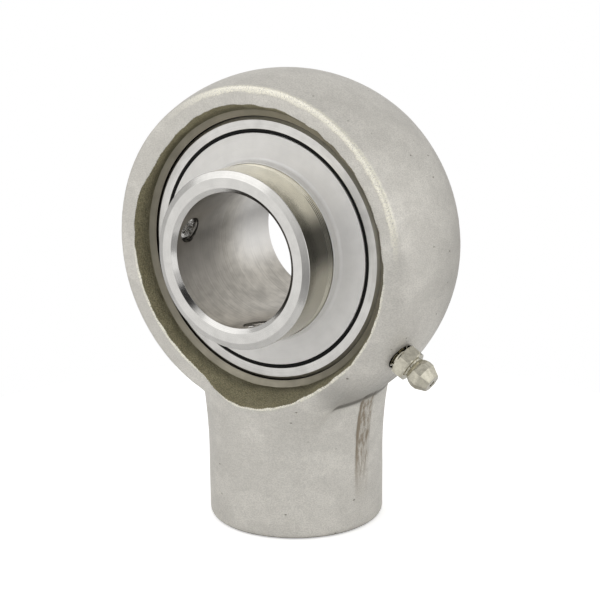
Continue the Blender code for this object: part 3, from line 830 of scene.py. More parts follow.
def casting_distance(points, sizes):
    """Distance of points from the casting's outside, with its fillets, negative inside."""
    across, forward, up = points[:, 0], -points[:, 1], points[:, 2]
    ball = np.linalg.norm(points, axis=1) - mm(sizes.ball_radius)
    angle = np.degrees(np.arctan2(up, across))
    soft = smooth_step(-angle, *SOFT_START) * smooth_step(angle, *SOFT_END)
    rounding = FACE_ROUNDING + (SOFT_ROUNDING - FACE_ROUNDING) * soft
    ball = smooth_larger(ball, forward - mm(sizes.front_face), rounding)
    ball = smooth_larger(ball, -forward - mm(sizes.rear_face), FACE_ROUNDING)
    rise = np.clip((up + SHAFT_HEIGHT - FLARE_START) / (FLARE_END - FLARE_START), 0.0, 1.0)
    radius = mm(sizes.neck_radius)
    half_width = radius + mm(sizes.neck_flare) * rise ** 2
    neck = (np.hypot(across / half_width, (forward - NECK_FORWARD) / radius) - 1.0) * radius
    neck = smooth_larger(neck, -SHAFT_HEIGHT - up, NECK_EDGE_ROUNDING)
    neck = smooth_larger(neck, up + NECK_INSIDE, NECK_TOP_ROUNDING)
    front = smooth_step(forward, *CREASE_AHEAD) * smooth_step(across, *CREASE_RIGHT)
    return smooth_smaller(ball, neck, SIDE_CREASE + (FRONT_CREASE - SIDE_CREASE) * front)


def casting_normals(points, sizes):
    slopes = []
    for axis in range(3):
        shift = np.zeros(3)
        shift[axis] = NORMAL_STEP
        ahead = casting_distance(points + shift, sizes)
        behind = casting_distance(points - shift, sizes)
        slopes.append(ahead - behind)
    normals = np.stack(slopes, axis=1)
    return normals / np.maximum(np.linalg.norm(normals, axis=1, keepdims=True), 1e-9)


def casting_relief(point, height):
    """Soft unevenness and fine grain of the cast skin at a point, in millimetres."""
    return height * sum(
        share * noise.noise(point * scale + Vector(offset))
        for scale, share, offset in RELIEF_WAVES)


def parting_line(point):
    """Depth of the rough parting line on the neck's right side."""
    if point.x < 0.0 or point.z > GROOVE_TOP:
        return 0.0
    ahead = -point.y - NECK_FORWARD
    fade = smooth_step(point.z + SHAFT_HEIGHT, *GROOVE_RISE)
    wander = noise.noise(Vector((0.0, 0.0, point.z * 0.35))) * 0.5
    groove = math.exp(-((ahead - GROOVE_AHEAD - wander) / GROOVE_WIDTH) ** 2) * GROOVE_DEPTH
    rough = smooth_step(ahead - wander, 1.6, 2.2)
    rough *= smooth_step(-ahead, -GROOVE_AHEAD, 0.6 - GROOVE_AHEAD)
    streak = noise.noise(Vector((point.x * 0.9, point.y * 1.2, point.z * 0.25)))
    return fade * (groove + rough * (0.10 + 0.10 * streak))


def casting_body(sizes):
    """Ball and neck as one even mesh, drawn onto the filleted casting surface."""
    radius = mm(sizes.ball_radius)
    front = math.degrees(math.asin(mm(sizes.front_face) / radius))
    rear = math.degrees(math.asin(mm(sizes.rear_face) / radius))
    profile = [(0.0, -mm(sizes.rear_face))] + arc(radius, -rear, front, 24)
    profile.append((0.0, mm(sizes.front_face)))
    bm = lathe(profile, 128, closed=False)
    outside = mm(sizes.neck_radius)
    neck = lathe(
        [(0.0, -SHAFT_HEIGHT), (outside, -SHAFT_HEIGHT), (outside, -NECK_INSIDE),
         (0.0, -NECK_INSIDE)], 96, closed=False, upright=True)
    joined = to_mesh("neck", neck, Matrix.Translation((0.0, -NECK_FORWARD, 0.0)))
    bm.from_mesh(joined)
    bpy.data.meshes.remove(joined)
    body = new_object("housing_shell", to_mesh("housing", bm))
    remesh = body.modifiers.new("even", "REMESH")
    remesh.mode = "VOXEL"
    remesh.voxel_size = VOXEL
    evaluate(body)
    mesh = body.data
    points = np.zeros(len(mesh.vertices) * 3)
    mesh.vertices.foreach_get("co", points)
    points = points.reshape(-1, 3)
    for _ in range(SNAP_ROUNDS):
        points -= casting_normals(points, sizes) * casting_distance(points, sizes)[:, None]
    normals = casting_normals(points, sizes)
    flat = np.abs(np.abs(normals[:, 1]) - 1.0) < 0.02
    relief = np.zeros(len(points))
    for index, place in enumerate(points):
        point = Vector(place)
        amount = casting_relief(point, mm(sizes.grain))
        if flat[index]:
            amount *= FACE_RELIEF
        relief[index] = amount - SKIN_INSET - parting_line(point)
    points += normals * relief[:, None]
    mesh.vertices.foreach_set("co", points.reshape(-1))
    return body


def lobe(angle):
    """Growth of the front pocket's radius at an angle, from the uneven casting core."""
    return sum(
        growth * math.exp(-((angle - middle) / spread) ** 2)
        for middle, spread, growth in POCKET_LOBES)


def bearing_space(sizes):
    """Cutter for the rear pocket, the seat and the front pocket, with a material for each wall."""
    seat = mm(sizes.seat_radius)
    rim = mm(sizes.rim_radius)
    depth = mm(sizes.rim_depth)
    half = math.degrees(math.asin((depth - RIM_CHAMFER) / seat))
    foot = rim + POCKET_STEP
    pocket = [(rim, depth), (foot, depth + 0.12)]
    for row in range(POCKET_ROWS + 1):
        reach = 0.3 + (POCKET_REACH - depth - 0.3) * (row / POCKET_ROWS) ** 1.5
        pocket.append((foot + POCKET_SLOPE * reach, depth + reach))
    rear = [(radius, -forward) for radius, forward in reversed(pocket)]
    profile = [(0.0, -POCKET_REACH)] + rear + arc(seat, -half, half, 24) + pocket
    profile.append((0.0, POCKET_REACH))
    bm = lathe(profile, POCKET_SEGMENTS, closed=False)
    for face in bm.faces:
        middle = face.calc_center_median()
        face.material_index = 1 if abs(middle.y) > depth + 0.15 else 2
    for vert in bm.verts:
        radius = math.hypot(vert.co.x, vert.co.z)
        away = abs(vert.co.y) - depth
        if away < 0.05 or radius < rim:
            continue
        strength = min(away / 0.8, 1.0)
        rough = sum(noise.noise(vert.co * scale) * height for scale, height in POCKET_WAVES)
        if vert.co.y < 0.0:
            angle = math.degrees(math.atan2(vert.co.z, vert.co.x)) % 360.0
            rough += lobe(angle) * min(away / 3.0, 1.0)
        scale = 1.0 + rough * strength / radius
        vert.co.x *= scale
        vert.co.z *= scale
    return bm


def neck_socket(sizes):
    """Cutter for the threaded socket in the neck, with its drill point."""
    crest = mm(sizes.socket_radius)
    depth = mm(sizes.socket_depth)
    pitch = mm(sizes.thread_pitch)
    rows = int(depth / pitch * 8)
    profile = [(0.0, -3.0), (crest + 2.2, -3.0), (crest + 1.9, 0.0), (crest + 0.4, 1.5)]
    profile += column(1.7, depth, crest, rows)
    profile.append((0.0, depth + 4.0))
    bm = lathe(profile, 144, closed=False, upright=True)
    threaded(bm, 1.0, depth - 0.2, crest + 1.0, crest, pitch, inside=True)
    bmesh.ops.translate(
        bm, vec=(0.0, -NECK_FORWARD, -SHAFT_HEIGHT), verts=bm.verts)
    for face in bm.faces:
        face.material_index = 3
    return bm


GREASE_ANGLE = -32.0
GREASE_FORWARD = 5.8


def surface_height(sizes):
    return math.sqrt(mm(sizes.ball_radius) ** 2 - GREASE_FORWARD ** 2)


def grease_passage(sizes):
    """Cutter for the nipple's tapped hole, its spot face and the drilling to the seat."""
    base = surface_height(sizes)
    seat = base + 0.3
    bottom = base - 5.4
    profile = [(0.0, 27.0), (1.25, 27.0), (1.25, bottom), (3.2, bottom), (3.2, seat)]
    profile += [(4.25, seat), (4.25, base + 3.0), (0.0, base + 3.0)]
    bm = lathe(profile, 96, closed=False, upright=True)
    for face in bm.faces:
        face.material_index = 2
    return bm


def soften_edges(mesh, rounds=3):
    """Round the edges where the machined and cast walls meet the outer skin."""
    bm = bmesh.new()
    bm.from_mesh(mesh)
    chosen = set()
    for edge in bm.edges:
        kinds = {face.material_index for face in edge.link_faces}
        if kinds == {0, 1}:
            chosen.update(edge.verts)
    near = set(chosen)
    for vert in chosen:
        near.update(edge.other_vert(vert) for edge in vert.link_edges)
    for _ in range(rounds):
        bmesh.ops.smooth_vert(
            bm, verts=list(near), factor=0.5, use_axis_x=True, use_axis_y=True, use_axis_z=True)
    bm.to_mesh(mesh)
    bm.free()


def build_housing():
    sizes = bpy.context.scene.bearing_housing
    body = casting_body(sizes)
    finishes = colours()
    for made in (
            cast_skin(), cast_pocket(),
            # the seat's dark colour is painted shade
            turned_steel("machined_seat_in_shade", finishes.seat, 0.42, 3.0, 0.02),
            turned_steel("turned_socket", finishes.ring, 0.35, 4.0, 0.02)):
        body.data.materials.append(made)
    tools = [
        to_mesh("space", bearing_space(sizes)), to_mesh("socket", neck_socket(sizes)),
        to_mesh("passage", grease_passage(sizes), radial_turn(GREASE_ANGLE, GREASE_FORWARD))]
    for mesh in tools:
        for made in body.data.materials:
            mesh.materials.append(made)
    cut(body, tools)
    soften_edges(body.data)
    body.data.transform(bearing_place())
    finish_piece(body, "housing", ["housing"], 38.0)


# ---------------------------------------------------------------------------
# Bearing
# ---------------------------------------------------------------------------

SEGMENTS = 240
RACE_GAP = 0.15
RING_CHAMFER = 0.6
SEAL_DEPTH = 2.9             # of the counterbore that holds the seal
GREASE_GROOVE = (7.0, 6.8, 4.8, 4.6)    # forward places of its edges and its floor
GREASE_GROOVE_DEPTH = 1.1
BORE_CHAMFER = 0.85
NOSE_BEVEL = 0.7
REAR_CHAMFER = 0.8
TURNED_LINES = (14.0, 13.45, 12.9)
LINE_DEPTH = 0.12
SCREW_HOLE = 2.85
SCREW_PITCH = 1.0


def race(sizes, sign):
    """Raceway points from front to rear: sign 1 in the outer ring, -1 in the inner ring."""
    land = mm(sizes.land_radius) if sign > 0 else mm(sizes.inner_radius)
    radius = mm(sizes.ball_radius) + RACE_GAP
    pitch = mm(sizes.pitch_radius)
    half = math.degrees(math.acos((land - pitch) * sign / radius))
    middle = 0.0 if sign > 0 else 180.0
    turn = half if sign > 0 else -half
    return arc(radius, middle + turn, middle - turn, 16, out=pitch)


def plain(points):
    return [(radius, height, 0.0) for radius, height in points]


def build_outer_ring():
    sizes = bpy.context.scene.bearing_rings
    face = mm(sizes.ring_face)
    radius = mm(sizes.ring_radius)
    seat = mm(sizes.seal_seat)
    land = mm(sizes.land_radius)
    shoulder = face - RING_CHAMFER
    edge = math.sqrt(radius ** 2 - shoulder ** 2)
    half = math.degrees(math.asin(shoulder / radius))
    front, floor_front, floor_rear, rear = GREASE_GROOVE
    front = math.degrees(math.asin(front / radius))
    rear = math.degrees(math.asin(rear / radius))
    floor = radius - GREASE_GROOVE_DEPTH
    step = face - SEAL_DEPTH
    profile = [(seat, face, 0.1), (edge - 0.7, face, 0.12), (edge, shoulder, 0.12)]
    profile += plain(arc(radius, half - 0.6, front, 5))
    profile += [(floor, floor_front, 0.0), (floor, floor_rear, 0.0)]
    profile += plain(arc(radius, rear, -half + 0.6, 16))
    profile += [(edge, -shoulder, 0.12), (edge - 0.7, -face, 0.12), (seat, -face, 0.1)]
    profile += [(seat, -step, 0.0), (land, -step, 0.1)]
    profile += plain(reversed(race(sizes, 1)))
    profile += [(land, step, 0.1), (seat, step, 0.0)]
    bm = lathe(rounded(profile), SEGMENTS)
    steel = turned_steel("ground_outer_ring", colours().ring, 0.30, 5.0, 0.012)
    piece = new_object("bearing_outer_ring", to_mesh("bearing_outer_ring", bm), [steel])
    hole = prism(24, 2.0, land - 2.0, radius + 2.0)
    cut(piece, [to_mesh("hole", hole, radial_turn(GREASE_ANGLE, GREASE_FORWARD))])
    piece.data.transform(bearing_place())
    finish_piece(piece, "outer", ["outer_ring"])


SCREW_ANGLES = (162.0, 282.0)
SCREW_FROM_END = 5.0


def screw_hole(bore, outside):
    """Cutter for a tapped hole with a small countersink outside."""
    rows = int((outside - bore + 4.0) * 8)
    profile = [(0.0, bore - 2.0)] + column(bore - 2.0, outside + 2.0, SCREW_HOLE, rows)
    profile.append((0.0, outside + 2.0))
    hole = lathe(profile, 48, closed=False, upright=True)
    threaded(
        hole, bore - 1.9, outside + 1.9, SCREW_HOLE + 0.3, SCREW_HOLE, SCREW_PITCH, inside=True)
    for vert in hole.verts:
        radius = math.hypot(vert.co.x, vert.co.y)
        if radius > 0.5:
            countersink = SCREW_HOLE + 0.05 + max(0.0, 0.5 - abs(vert.co.z - outside)) * 1.1
            scale_out(vert, max(radius, countersink) / radius)
    for face in hole.faces:
        face.material_index = 1
    return hole


def build_inner_ring():
    sizes = bpy.context.scene.bearing_rings
    bore = mm(sizes.bore_radius)
    outside = mm(sizes.inner_radius)
    front = mm(sizes.inner_front)
    rear = -mm(sizes.inner_rear)
    profile = [(bore, front - BORE_CHAMFER, 0.12), (bore + 1.05, front, 0.12)]
    profile += [(outside - 1.5, front, 0.15), (outside, front - NOSE_BEVEL, 0.15)]
    for line in TURNED_LINES:
        floor = outside - LINE_DEPTH
        profile += [(outside, line, 0.0), (floor, line - LINE_DEPTH, 0.0)]
        profile += [(floor, line - 0.2, 0.0), (outside, line - 0.2 - LINE_DEPTH, 0.0)]
    profile += plain(race(sizes, -1))
    profile += [(outside, rear + REAR_CHAMFER, 0.12), (outside - REAR_CHAMFER, rear, 0.12)]
    profile += [(bore + REAR_CHAMFER, rear, 0.12), (bore, rear + REAR_CHAMFER, 0.12)]
    bm = lathe(rounded(profile), SEGMENTS)
    steel = turned_steel("polished_inner_ring", colours().ring, 0.16, 5.0, 0.006, spread=0.08)
    bore_steel = ring_bore()
    for face in bm.faces:
        middle = face.calc_center_median()
        radius = math.hypot(middle.x, middle.z)
        if radius < bore + 0.01:
            face.material_index = 1
        elif radius > outside - 0.2 and -middle.y < front - NOSE_BEVEL - 0.2:
            face.material_index = 2
    piece = new_object(
        "bearing_inner_ring", to_mesh("bearing_inner_ring", bm),
        [steel, bore_steel, ring_outside()])
    tools = []
    for angle in SCREW_ANGLES:
        hole = screw_hole(bore, outside)
        mesh = to_mesh("hole", hole, radial_turn(angle, front - SCREW_FROM_END))
        mesh.materials.append(steel)
        mesh.materials.append(bore_steel)
        tools.append(mesh)
    cut(piece, tools)
    piece.data.transform(bearing_place())
    finish_piece(piece, "rotor", ["inner_ring"])


def ball_profile(radius, rings):
    return [(0.0, -radius)] + arc(radius, -90.0, 90.0, rings)[1:-1] + [(0.0, radius)]


def node_place(node):
    """Millimetres about the middle of a node to metres in the frame."""
    low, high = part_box(node)
    return Matrix.Translation((low + high) / 2.0) @ Matrix.Scale(MM, 4)


def nodes_named(start):
    return sorted(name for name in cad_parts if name.startswith(start))


def build_balls():
    sizes = bpy.context.scene.bearing_rings
    steel = plain_metal("polished_balls", (0.78, 0.78, 0.78), 0.06, 0.4, 0.001)
    for node in nodes_named("ball_"):
        bm = lathe(ball_profile(mm(sizes.ball_radius), 24), 40, closed=False)
        name = f"rolling_{node}"
        turned_piece(name, bm, node_place(node), name, [node], [steel], 60.0)


RIBBON_WIDTH = 2.6
RIBBON_THICKNESS = 0.7
RIBBON_REST = 0.15           # half the gap between the halves' flat parts
RIBBON_GAP = 0.3             # round each ball
RIVET_HOLE = 0.65


def ribbon_height(around, ball):
    """Height of the ribbon's inner face at a distance around the pitch circle from a ball."""
    pocket = ball + RIBBON_GAP
    if abs(around) >= pocket:
        return RIBBON_REST
    return smooth_larger(math.sqrt(pocket ** 2 - around ** 2), RIBBON_REST, 0.8)


def build_cage():
    sizes = bpy.context.scene.bearing_rings
    pitch = mm(sizes.pitch_radius)
    ball = mm(sizes.ball_radius)
    count = len(nodes_named("ball_"))
    spacing = FULL_TURN * pitch / count
    steel = plain_metal("cage_steel", (0.55, 0.55, 0.54), 0.32, 3.0)
    for word, side in (("front", 1.0), ("rear", -1.0)):
        bm = bmesh.new()
        steps = count * 40
        bmesh.ops.create_grid(bm, x_segments=steps, y_segments=4, size=0.5)
        for vert in bm.verts:
            angle = (vert.co.x + 0.5) * FULL_TURN
            radius = pitch + vert.co.y * RIBBON_WIDTH
            share = (angle * count / FULL_TURN + 0.5) % 1.0 - 0.5
            height = ribbon_height(share * spacing, ball)
            turn = angle + math.pi / 2.0
            vert.co = (math.cos(turn) * radius, -side * height, math.sin(turn) * radius)
        bmesh.ops.remove_doubles(bm, verts=bm.verts, dist=1e-4)
        bmesh.ops.recalc_face_normals(bm, faces=bm.faces)
        name = f"ribbon_cage_{word}"
        piece = new_object(name, to_mesh(name, bm, bearing_place()), [steel])
        wall = piece.modifiers.new("wall", "SOLIDIFY")
        wall.thickness = RIBBON_THICKNESS * MM
        wall.offset = 1.0 if flat_side(piece, side) else -1.0
        wall.use_even_offset = True
        evaluate(piece)
        holes = bmesh.new()
        for number in range(count):
            angle = FULL_TURN * (0.25 + (number + 0.5) / count)
            place = Matrix.Translation((math.cos(angle) * pitch, 0.0, math.sin(angle) * pitch))
            bmesh.ops.create_cone(
                holes, cap_ends=True, segments=20, radius1=RIVET_HOLE, radius2=RIVET_HOLE,
                depth=4.0, matrix=place @ Matrix.Rotation(math.pi / 2.0, 4, "X"))
        cut(piece, [to_mesh("holes", holes, bearing_place())])
        finish_piece(piece, "cage", [f"cage_{word}"], 40.0)


def flat_side(piece, side):
    """Whether the ribbon's faces look away from the other cage half."""
    total = sum(polygon.normal.y * polygon.area for polygon in piece.data.polygons)
    return total * -side > 0.0


RIVET_SHANK = 0.5
RIVET_HEAD = 1.1
RIVET_HEAD_HEIGHT = 0.5


def build_rivets():
    steel = plain_metal("rivet_steel", (0.58, 0.58, 0.57), 0.3, 3.0)
    seat = RIBBON_REST + RIBBON_THICKNESS + 0.15
    top = seat + RIVET_HEAD_HEIGHT
    half = [(RIVET_SHANK, seat, 0.0), (RIVET_HEAD, seat, 0.0), (RIVET_HEAD, seat + 0.18, 0.12)]
    half += [(RIVET_HEAD * 0.6, top, 0.2), (0.0, top, 0.0)]
    profile = mirrored(reversed(half), -1.0) + half
    for node in nodes_named("cage_rivet_"):
        bm = lathe(rounded(profile), 24, closed=False)
        turned_piece(
            node.replace("cage_", "formed_"), bm, node_place(node), "cage", [node],
            [steel])


FLINGER_SHEET = 0.4
FLINGER_DISH = 0.4           # rise of its face from the rim to the collar
FLINGER_COLLAR = 2.6         # height of the collar above the outer ring's face
FLINGER_WALL = 0.28
FLINGER_GAP = 0.85           # between its rim and the seal's seat


def build_flingers():
    sizes = bpy.context.scene.bearing_rings
    face = mm(sizes.ring_face)
    inner = mm(sizes.inner_radius) + 0.02
    rim = mm(sizes.seal_seat) - FLINGER_GAP
    top = face + FLINGER_COLLAR
    flat = face + 0.05
    collar = inner + FLINGER_WALL
    profile = [
        (inner, flat - FLINGER_SHEET, 0.0), (inner, top, 0.08), (collar, top, 0.14),
        (collar, flat + FLINGER_DISH, 0.8), (rim, flat, 0.14), (rim, flat - FLINGER_SHEET, 0.1)]
    steel = turned_steel(
        "pressed_sheet", colours().sheet, 0.42, 7.0, 0.004, metallic=0.15, spread=0.05)
    for word, side in (("front", 1.0), ("rear", -1.0)):
        bm = lathe(rounded(mirrored(profile, side)), SEGMENTS)
        turned_piece(
            f"pressed_flinger_{word}", bm, bearing_place(), "rotor", [f"{word}_flinger"],
            [steel])


SEAL_RIM = 0.65              # width of the seal's thick rim
SEAL_BACK = 2.6
SEAL_WEB = 0.6
LIP_GAP = 0.3
CORE_SHEET = (0.9, 1.4)      # the core's faces, above the seal's back


def build_seals():
    sizes = bpy.context.scene.bearing_rings
    face = mm(sizes.ring_face)
    outside = mm(sizes.seal_seat) - 0.05
    inside = outside - SEAL_RIM
    back = face - SEAL_BACK
    web = back + SEAL_WEB
    lip = mm(sizes.inner_radius) + LIP_GAP
    rubber = seal_rubber()
    steel = turned_steel("core_sheet", colours().sheet, 0.3, 5.0, 0.01)
    ring = [(outside, back, 0.1), (outside, face - 0.15, 0.15), (inside, face - 0.15, 0.15)]
    ring += [(inside, web, 0.1), (lip + 0.8, web, 0.1), (lip, web + 0.3, 0.1)]
    ring += [(lip, back + 0.2, 0.08), (lip + 0.5, back, 0.1)]
    low, high = (back + height for height in CORE_SHEET)
    core = [(inside - 0.3, low, 0.06), (inside - 0.3, high, 0.06)]
    core += [(lip + 1.0, high, 0.06), (lip + 1.0, low, 0.06)]
    for word, side in (("front", 1.0), ("rear", -1.0)):
        bm = lathe(rounded(mirrored(ring, side)), SEGMENTS)
        turned_piece(
            f"moulded_seal_{word}", bm, bearing_place(), "outer", [f"{word}_seal_lip"],
            [rubber])
        bm = lathe(rounded(mirrored(core, side)), SEGMENTS)
        turned_piece(
            f"seal_stiffener_{word}", bm, bearing_place(), "outer", [f"{word}_seal_core"],
            [steel])


# ---------------------------------------------------------------------------
# Small parts
# ---------------------------------------------------------------------------

SCREW_LENGTH = 4.0
SCREW_RECESS = 0.35
SCREW_RADIUS = 2.74
CUP_TEETH = 20
TOOTH_HEIGHT = 0.25
SOCKET_HEXAGON = 3.0
SOCKET_DEPTH = 1.8


def build_set_screws():
    sizes = bpy.context.scene.bearing_rings
    start = mm(sizes.bore_radius) + SCREW_RECESS
    end = start + SCREW_LENGTH
    steel = plain_metal("screw_steel", (0.58, 0.57, 0.55), 0.25, 3.0)
    profile = [(0.0, start + 1.1), (0.5, start + 1.0), (1.3, start + 0.05)]
    profile += [(1.6, start), (2.1, start)]
    profile += column(start + 0.55, end - 0.35, SCREW_RADIUS - 0.02, 22)
    profile += [(2.4, end), (1.8, end), (0.0, end)]
    for number, angle in enumerate(SCREW_ANGLES, 1):
        bm = lathe(profile, 144, closed=False, upright=True)
        threaded(bm, start + 0.5, end - 0.3, SCREW_RADIUS, SCREW_RADIUS - 0.29, SCREW_PITCH)
        for vert in bm.verts:
            radius = math.hypot(vert.co.x, vert.co.y)
            if 1.2 < radius < 2.2 and vert.co.z < start + 0.3:
                tooth = math.sin(math.atan2(vert.co.y, vert.co.x) * CUP_TEETH)
                vert.co.z += TOOTH_HEIGHT * (1.0 + tooth)
        piece = new_object(f"cup_screw_{number}", to_mesh(f"cup_screw_{number}", bm), [steel])
        cut(piece, [to_mesh("socket", prism(6, SOCKET_HEXAGON, end - SOCKET_DEPTH, end + 1.0))])
        piece.data.transform(radial_place(angle, mm(sizes.inner_front) - SCREW_FROM_END))
        finish_piece(piece, f"screw_{number}", [f"set_screw_{number}"])


def flats(bm, low, high, count, apothem):
    """Press flats into the turned walls between two heights."""
    for vert in bm.verts:
        if not low - 1e-4 < vert.co.z < high + 1e-4:
            continue
        radius = math.hypot(vert.co.x, vert.co.y)
        share = (math.atan2(vert.co.y, vert.co.x) * count / FULL_TURN + 0.5) % 1.0 - 0.5
        limit = apothem / math.cos(share * FULL_TURN / count)
        if radius > limit:
            scale_out(vert, limit / radius)


def facets(bm, low, high, count):
    """Turn round sections between two heights into polygons."""
    for vert in bm.verts:
        if low < vert.co.z < high + 1e-4:
            share = (math.atan2(vert.co.y, vert.co.x) * count / FULL_TURN + 0.5) % 1.0 - 0.5
            scale_out(vert, math.cos(math.pi / count) / math.cos(share * FULL_TURN / count))


HEAD_FACETS = 8
NIPPLE_HEX = 7.0
NIPPLE_HEX_TOP = 3.4
NIPPLE_LENGTH = 9.3
NIPPLE_ROUNDED_OFF = 0.3     # the head's worn tip ends this far below the full length
NIPPLE_THREAD = 2.9
NIPPLE_COLLAR = 2.2
NIPPLE_NECK = 2.5
NIPPLE_HEAD = 3.3
NIPPLE_HOLE = 0.75


def build_nipple():
    housing = bpy.context.scene.bearing_housing
    base = surface_height(housing)
    seat = base - 0.2
    bottom = seat - 4.6
    hexagon = base + NIPPLE_HEX_TOP
    under = base + 0.45
    tip = base + NIPPLE_LENGTH - NIPPLE_ROUNDED_OFF
    corner = NIPPLE_HEX / 2.0 / math.cos(math.pi / 6.0)
    profile = [(0.0, bottom), (2.4, bottom)]
    profile += column(bottom + 0.5, seat - 0.3, NIPPLE_THREAD, 34)
    profile += [(NIPPLE_COLLAR, seat), (NIPPLE_COLLAR, under)]
    profile += [(corner - 0.5, under), (corner, under + 0.3)]
    profile += column(under + 0.6, hexagon - 0.75, corner, 6)
    profile += [(corner, hexagon - 0.5), (corner - 0.25, hexagon - 0.28)]
    profile += [(corner - 0.55, hexagon - 0.02), (3.0, hexagon), (2.6, hexagon)]
    profile += [(NIPPLE_NECK, hexagon + 0.1), (NIPPLE_NECK, hexagon + 0.3)]
    profile += [(3.0, hexagon + 1.2), (NIPPLE_HEAD, hexagon + 2.2)]
    profile += [(3.25, hexagon + 3.3), (2.15, tip - 0.05), (2.0, tip), (0.0, tip)]
    bm = lathe(profile, 96, closed=False, upright=True)
    threaded(bm, bottom + 0.4, seat - 0.3, NIPPLE_THREAD, NIPPLE_THREAD - 0.35, SCREW_PITCH)
    flats(bm, seat - 0.05, hexagon + 0.01, 6, NIPPLE_HEX / 2.0)
    facets(bm, hexagon + 0.2, tip, HEAD_FACETS)
    nickel = plain_metal("nickel_plate", colours().nickel, 0.12, 1.2, 0.004)
    piece = new_object("lubrication_nipple", to_mesh("lubrication_nipple", bm), [nickel])
    channel = [(0.0, bottom - 1.0), (0.65, bottom - 1.0), (0.65, bottom + 0.9), (1.3, bottom + 0.9)]
    channel += [(1.3, tip - 1.0), (NIPPLE_HOLE, tip - 0.45)]
    channel += [(NIPPLE_HOLE, tip + 1.0), (0.0, tip + 1.0)]
    cutter = lathe(channel, 32, closed=False, upright=True)
    cut(piece, [to_mesh("channel", cutter)])
    piece.data.transform(radial_place(GREASE_ANGLE, GREASE_FORWARD))
    finish_piece(piece, "housing", ["grease_nipple"], 18.0)


CHECK_BALL = 1.0


def build_check_ball():
    node = "nipple_check_ball"
    bm = lathe(ball_profile(CHECK_BALL, 18), 28, closed=False)
    steel = plain_metal("check_ball_steel", (0.6, 0.6, 0.6), 0.15, 0.5, 0.002)
    turned_piece(
        "valve_ball", bm, node_place(node), "nipple_valve", [node], [steel], 60.0)


SPRING_WIRE = 0.15
SPRING_RADIUS = 0.9
SPRING_TURNS = 4
SPRING_LENGTH = 4.2
SPRING_BELOW_TIP = 2.65


def build_spring():
    housing = bpy.context.scene.bearing_housing
    top = surface_height(housing) + NIPPLE_LENGTH - SPRING_BELOW_TIP - SPRING_WIRE
    steel = plain_metal("spring_wire", (0.5, 0.5, 0.5), 0.25, 4.0)
    bm = bmesh.new()
    bmesh.ops.create_circle(bm, cap_ends=True, segments=12, radius=SPRING_WIRE)
    bmesh.ops.rotate(
        bm, cent=(0.0, 0.0, 0.0), matrix=Matrix.Rotation(math.pi / 2.0, 3, "X"), verts=bm.verts)
    bmesh.ops.translate(bm, vec=(SPRING_RADIUS, 0.0, top), verts=bm.verts)
    steps = 36 * SPRING_TURNS
    bmesh.ops.spin(
        bm, geom=list(bm.faces), cent=(0.0, 0.0, 0.0), axis=(0.0, 0.0, 1.0),
        dvec=(0.0, 0.0, -SPRING_LENGTH / steps), angle=FULL_TURN * SPRING_TURNS, steps=steps,
        use_duplicate=False)
    bmesh.ops.recalc_face_normals(bm, faces=bm.faces)
    turned_piece(
        "valve_spring", bm, radial_place(GREASE_ANGLE, GREASE_FORWARD), "nipple_valve",
        ["nipple_spring"], [steel], 50.0)


# ---------------------------------------------------------------------------
# Stage
# ---------------------------------------------------------------------------

VIEW_AZIMUTH = 32.7022
VIEW_ELEVATION = 14.8481
VIEW_ROLL = -0.528
VIEW_DISTANCE = 0.3717
VIEW_SHIFT = (0.003005, -0.013124)      # camera right and up of the bearing's centre
LENS = 98.58
SENSOR_WIDTH = 36.0


def build_camera():
    azimuth = math.radians(VIEW_AZIMUTH)
    elevation = math.radians(VIEW_ELEVATION)
    back = Vector((
        math.sin(azimuth) * math.cos(elevation), -math.cos(azimuth) * math.cos(elevation),
        math.sin(elevation)))
    level = Vector((0.0, 0.0, 1.0)).cross(back).normalized()
    rolled = Matrix.Rotation(math.radians(VIEW_ROLL), 3, back)
    right = rolled @ level
    up = back.cross(right)
    data = bpy.data.cameras.new("studio_camera")
    data.lens = LENS
    data.sensor_width = SENSOR_WIDTH
    data.clip_start = 0.01
    camera = bpy.data.objects.new("studio_camera", data)
    rotation = Matrix((right, up, back)).transposed().to_4x4()
    place = CENTRE + right * VIEW_SHIFT[0] + up * VIEW_SHIFT[1] + back * VIEW_DISTANCE
    camera.matrix_world = Matrix.Translation(place) @ rotation
    bpy.context.scene.collection.objects.link(camera)
    bpy.context.scene.camera = camera


ROOM_LEVEL = 0.66
ROOM_LEAST = 0.03
ROOM_WHITE = (1.0, 0.995, 0.985, 1.0)
ROOM_PATCHES = (             # direction, cosines of the outer and inner edge, brightness added
    ((-0.45, -0.80, -0.40), 0.65, 0.99, 0.36),
    ((-0.30, -0.80, 0.45), 0.70, 0.97, 0.30),
    ((0.80, 0.60, 0.00), 0.70, 0.97, 0.45),
    ((-0.30, 0.80, 0.50), 0.50, 0.95, 0.10),
    ((0.62, -0.77, -0.10), 0.84, 0.97, -0.20),
    ((0.50, -0.73, 0.46), 0.90, 0.97, -0.75),
    ((0.05, -0.80, -0.60), 0.80, 0.96, -0.25),
    ((0.10, 0.85, -0.50), 0.60, 0.92, -0.45),
)


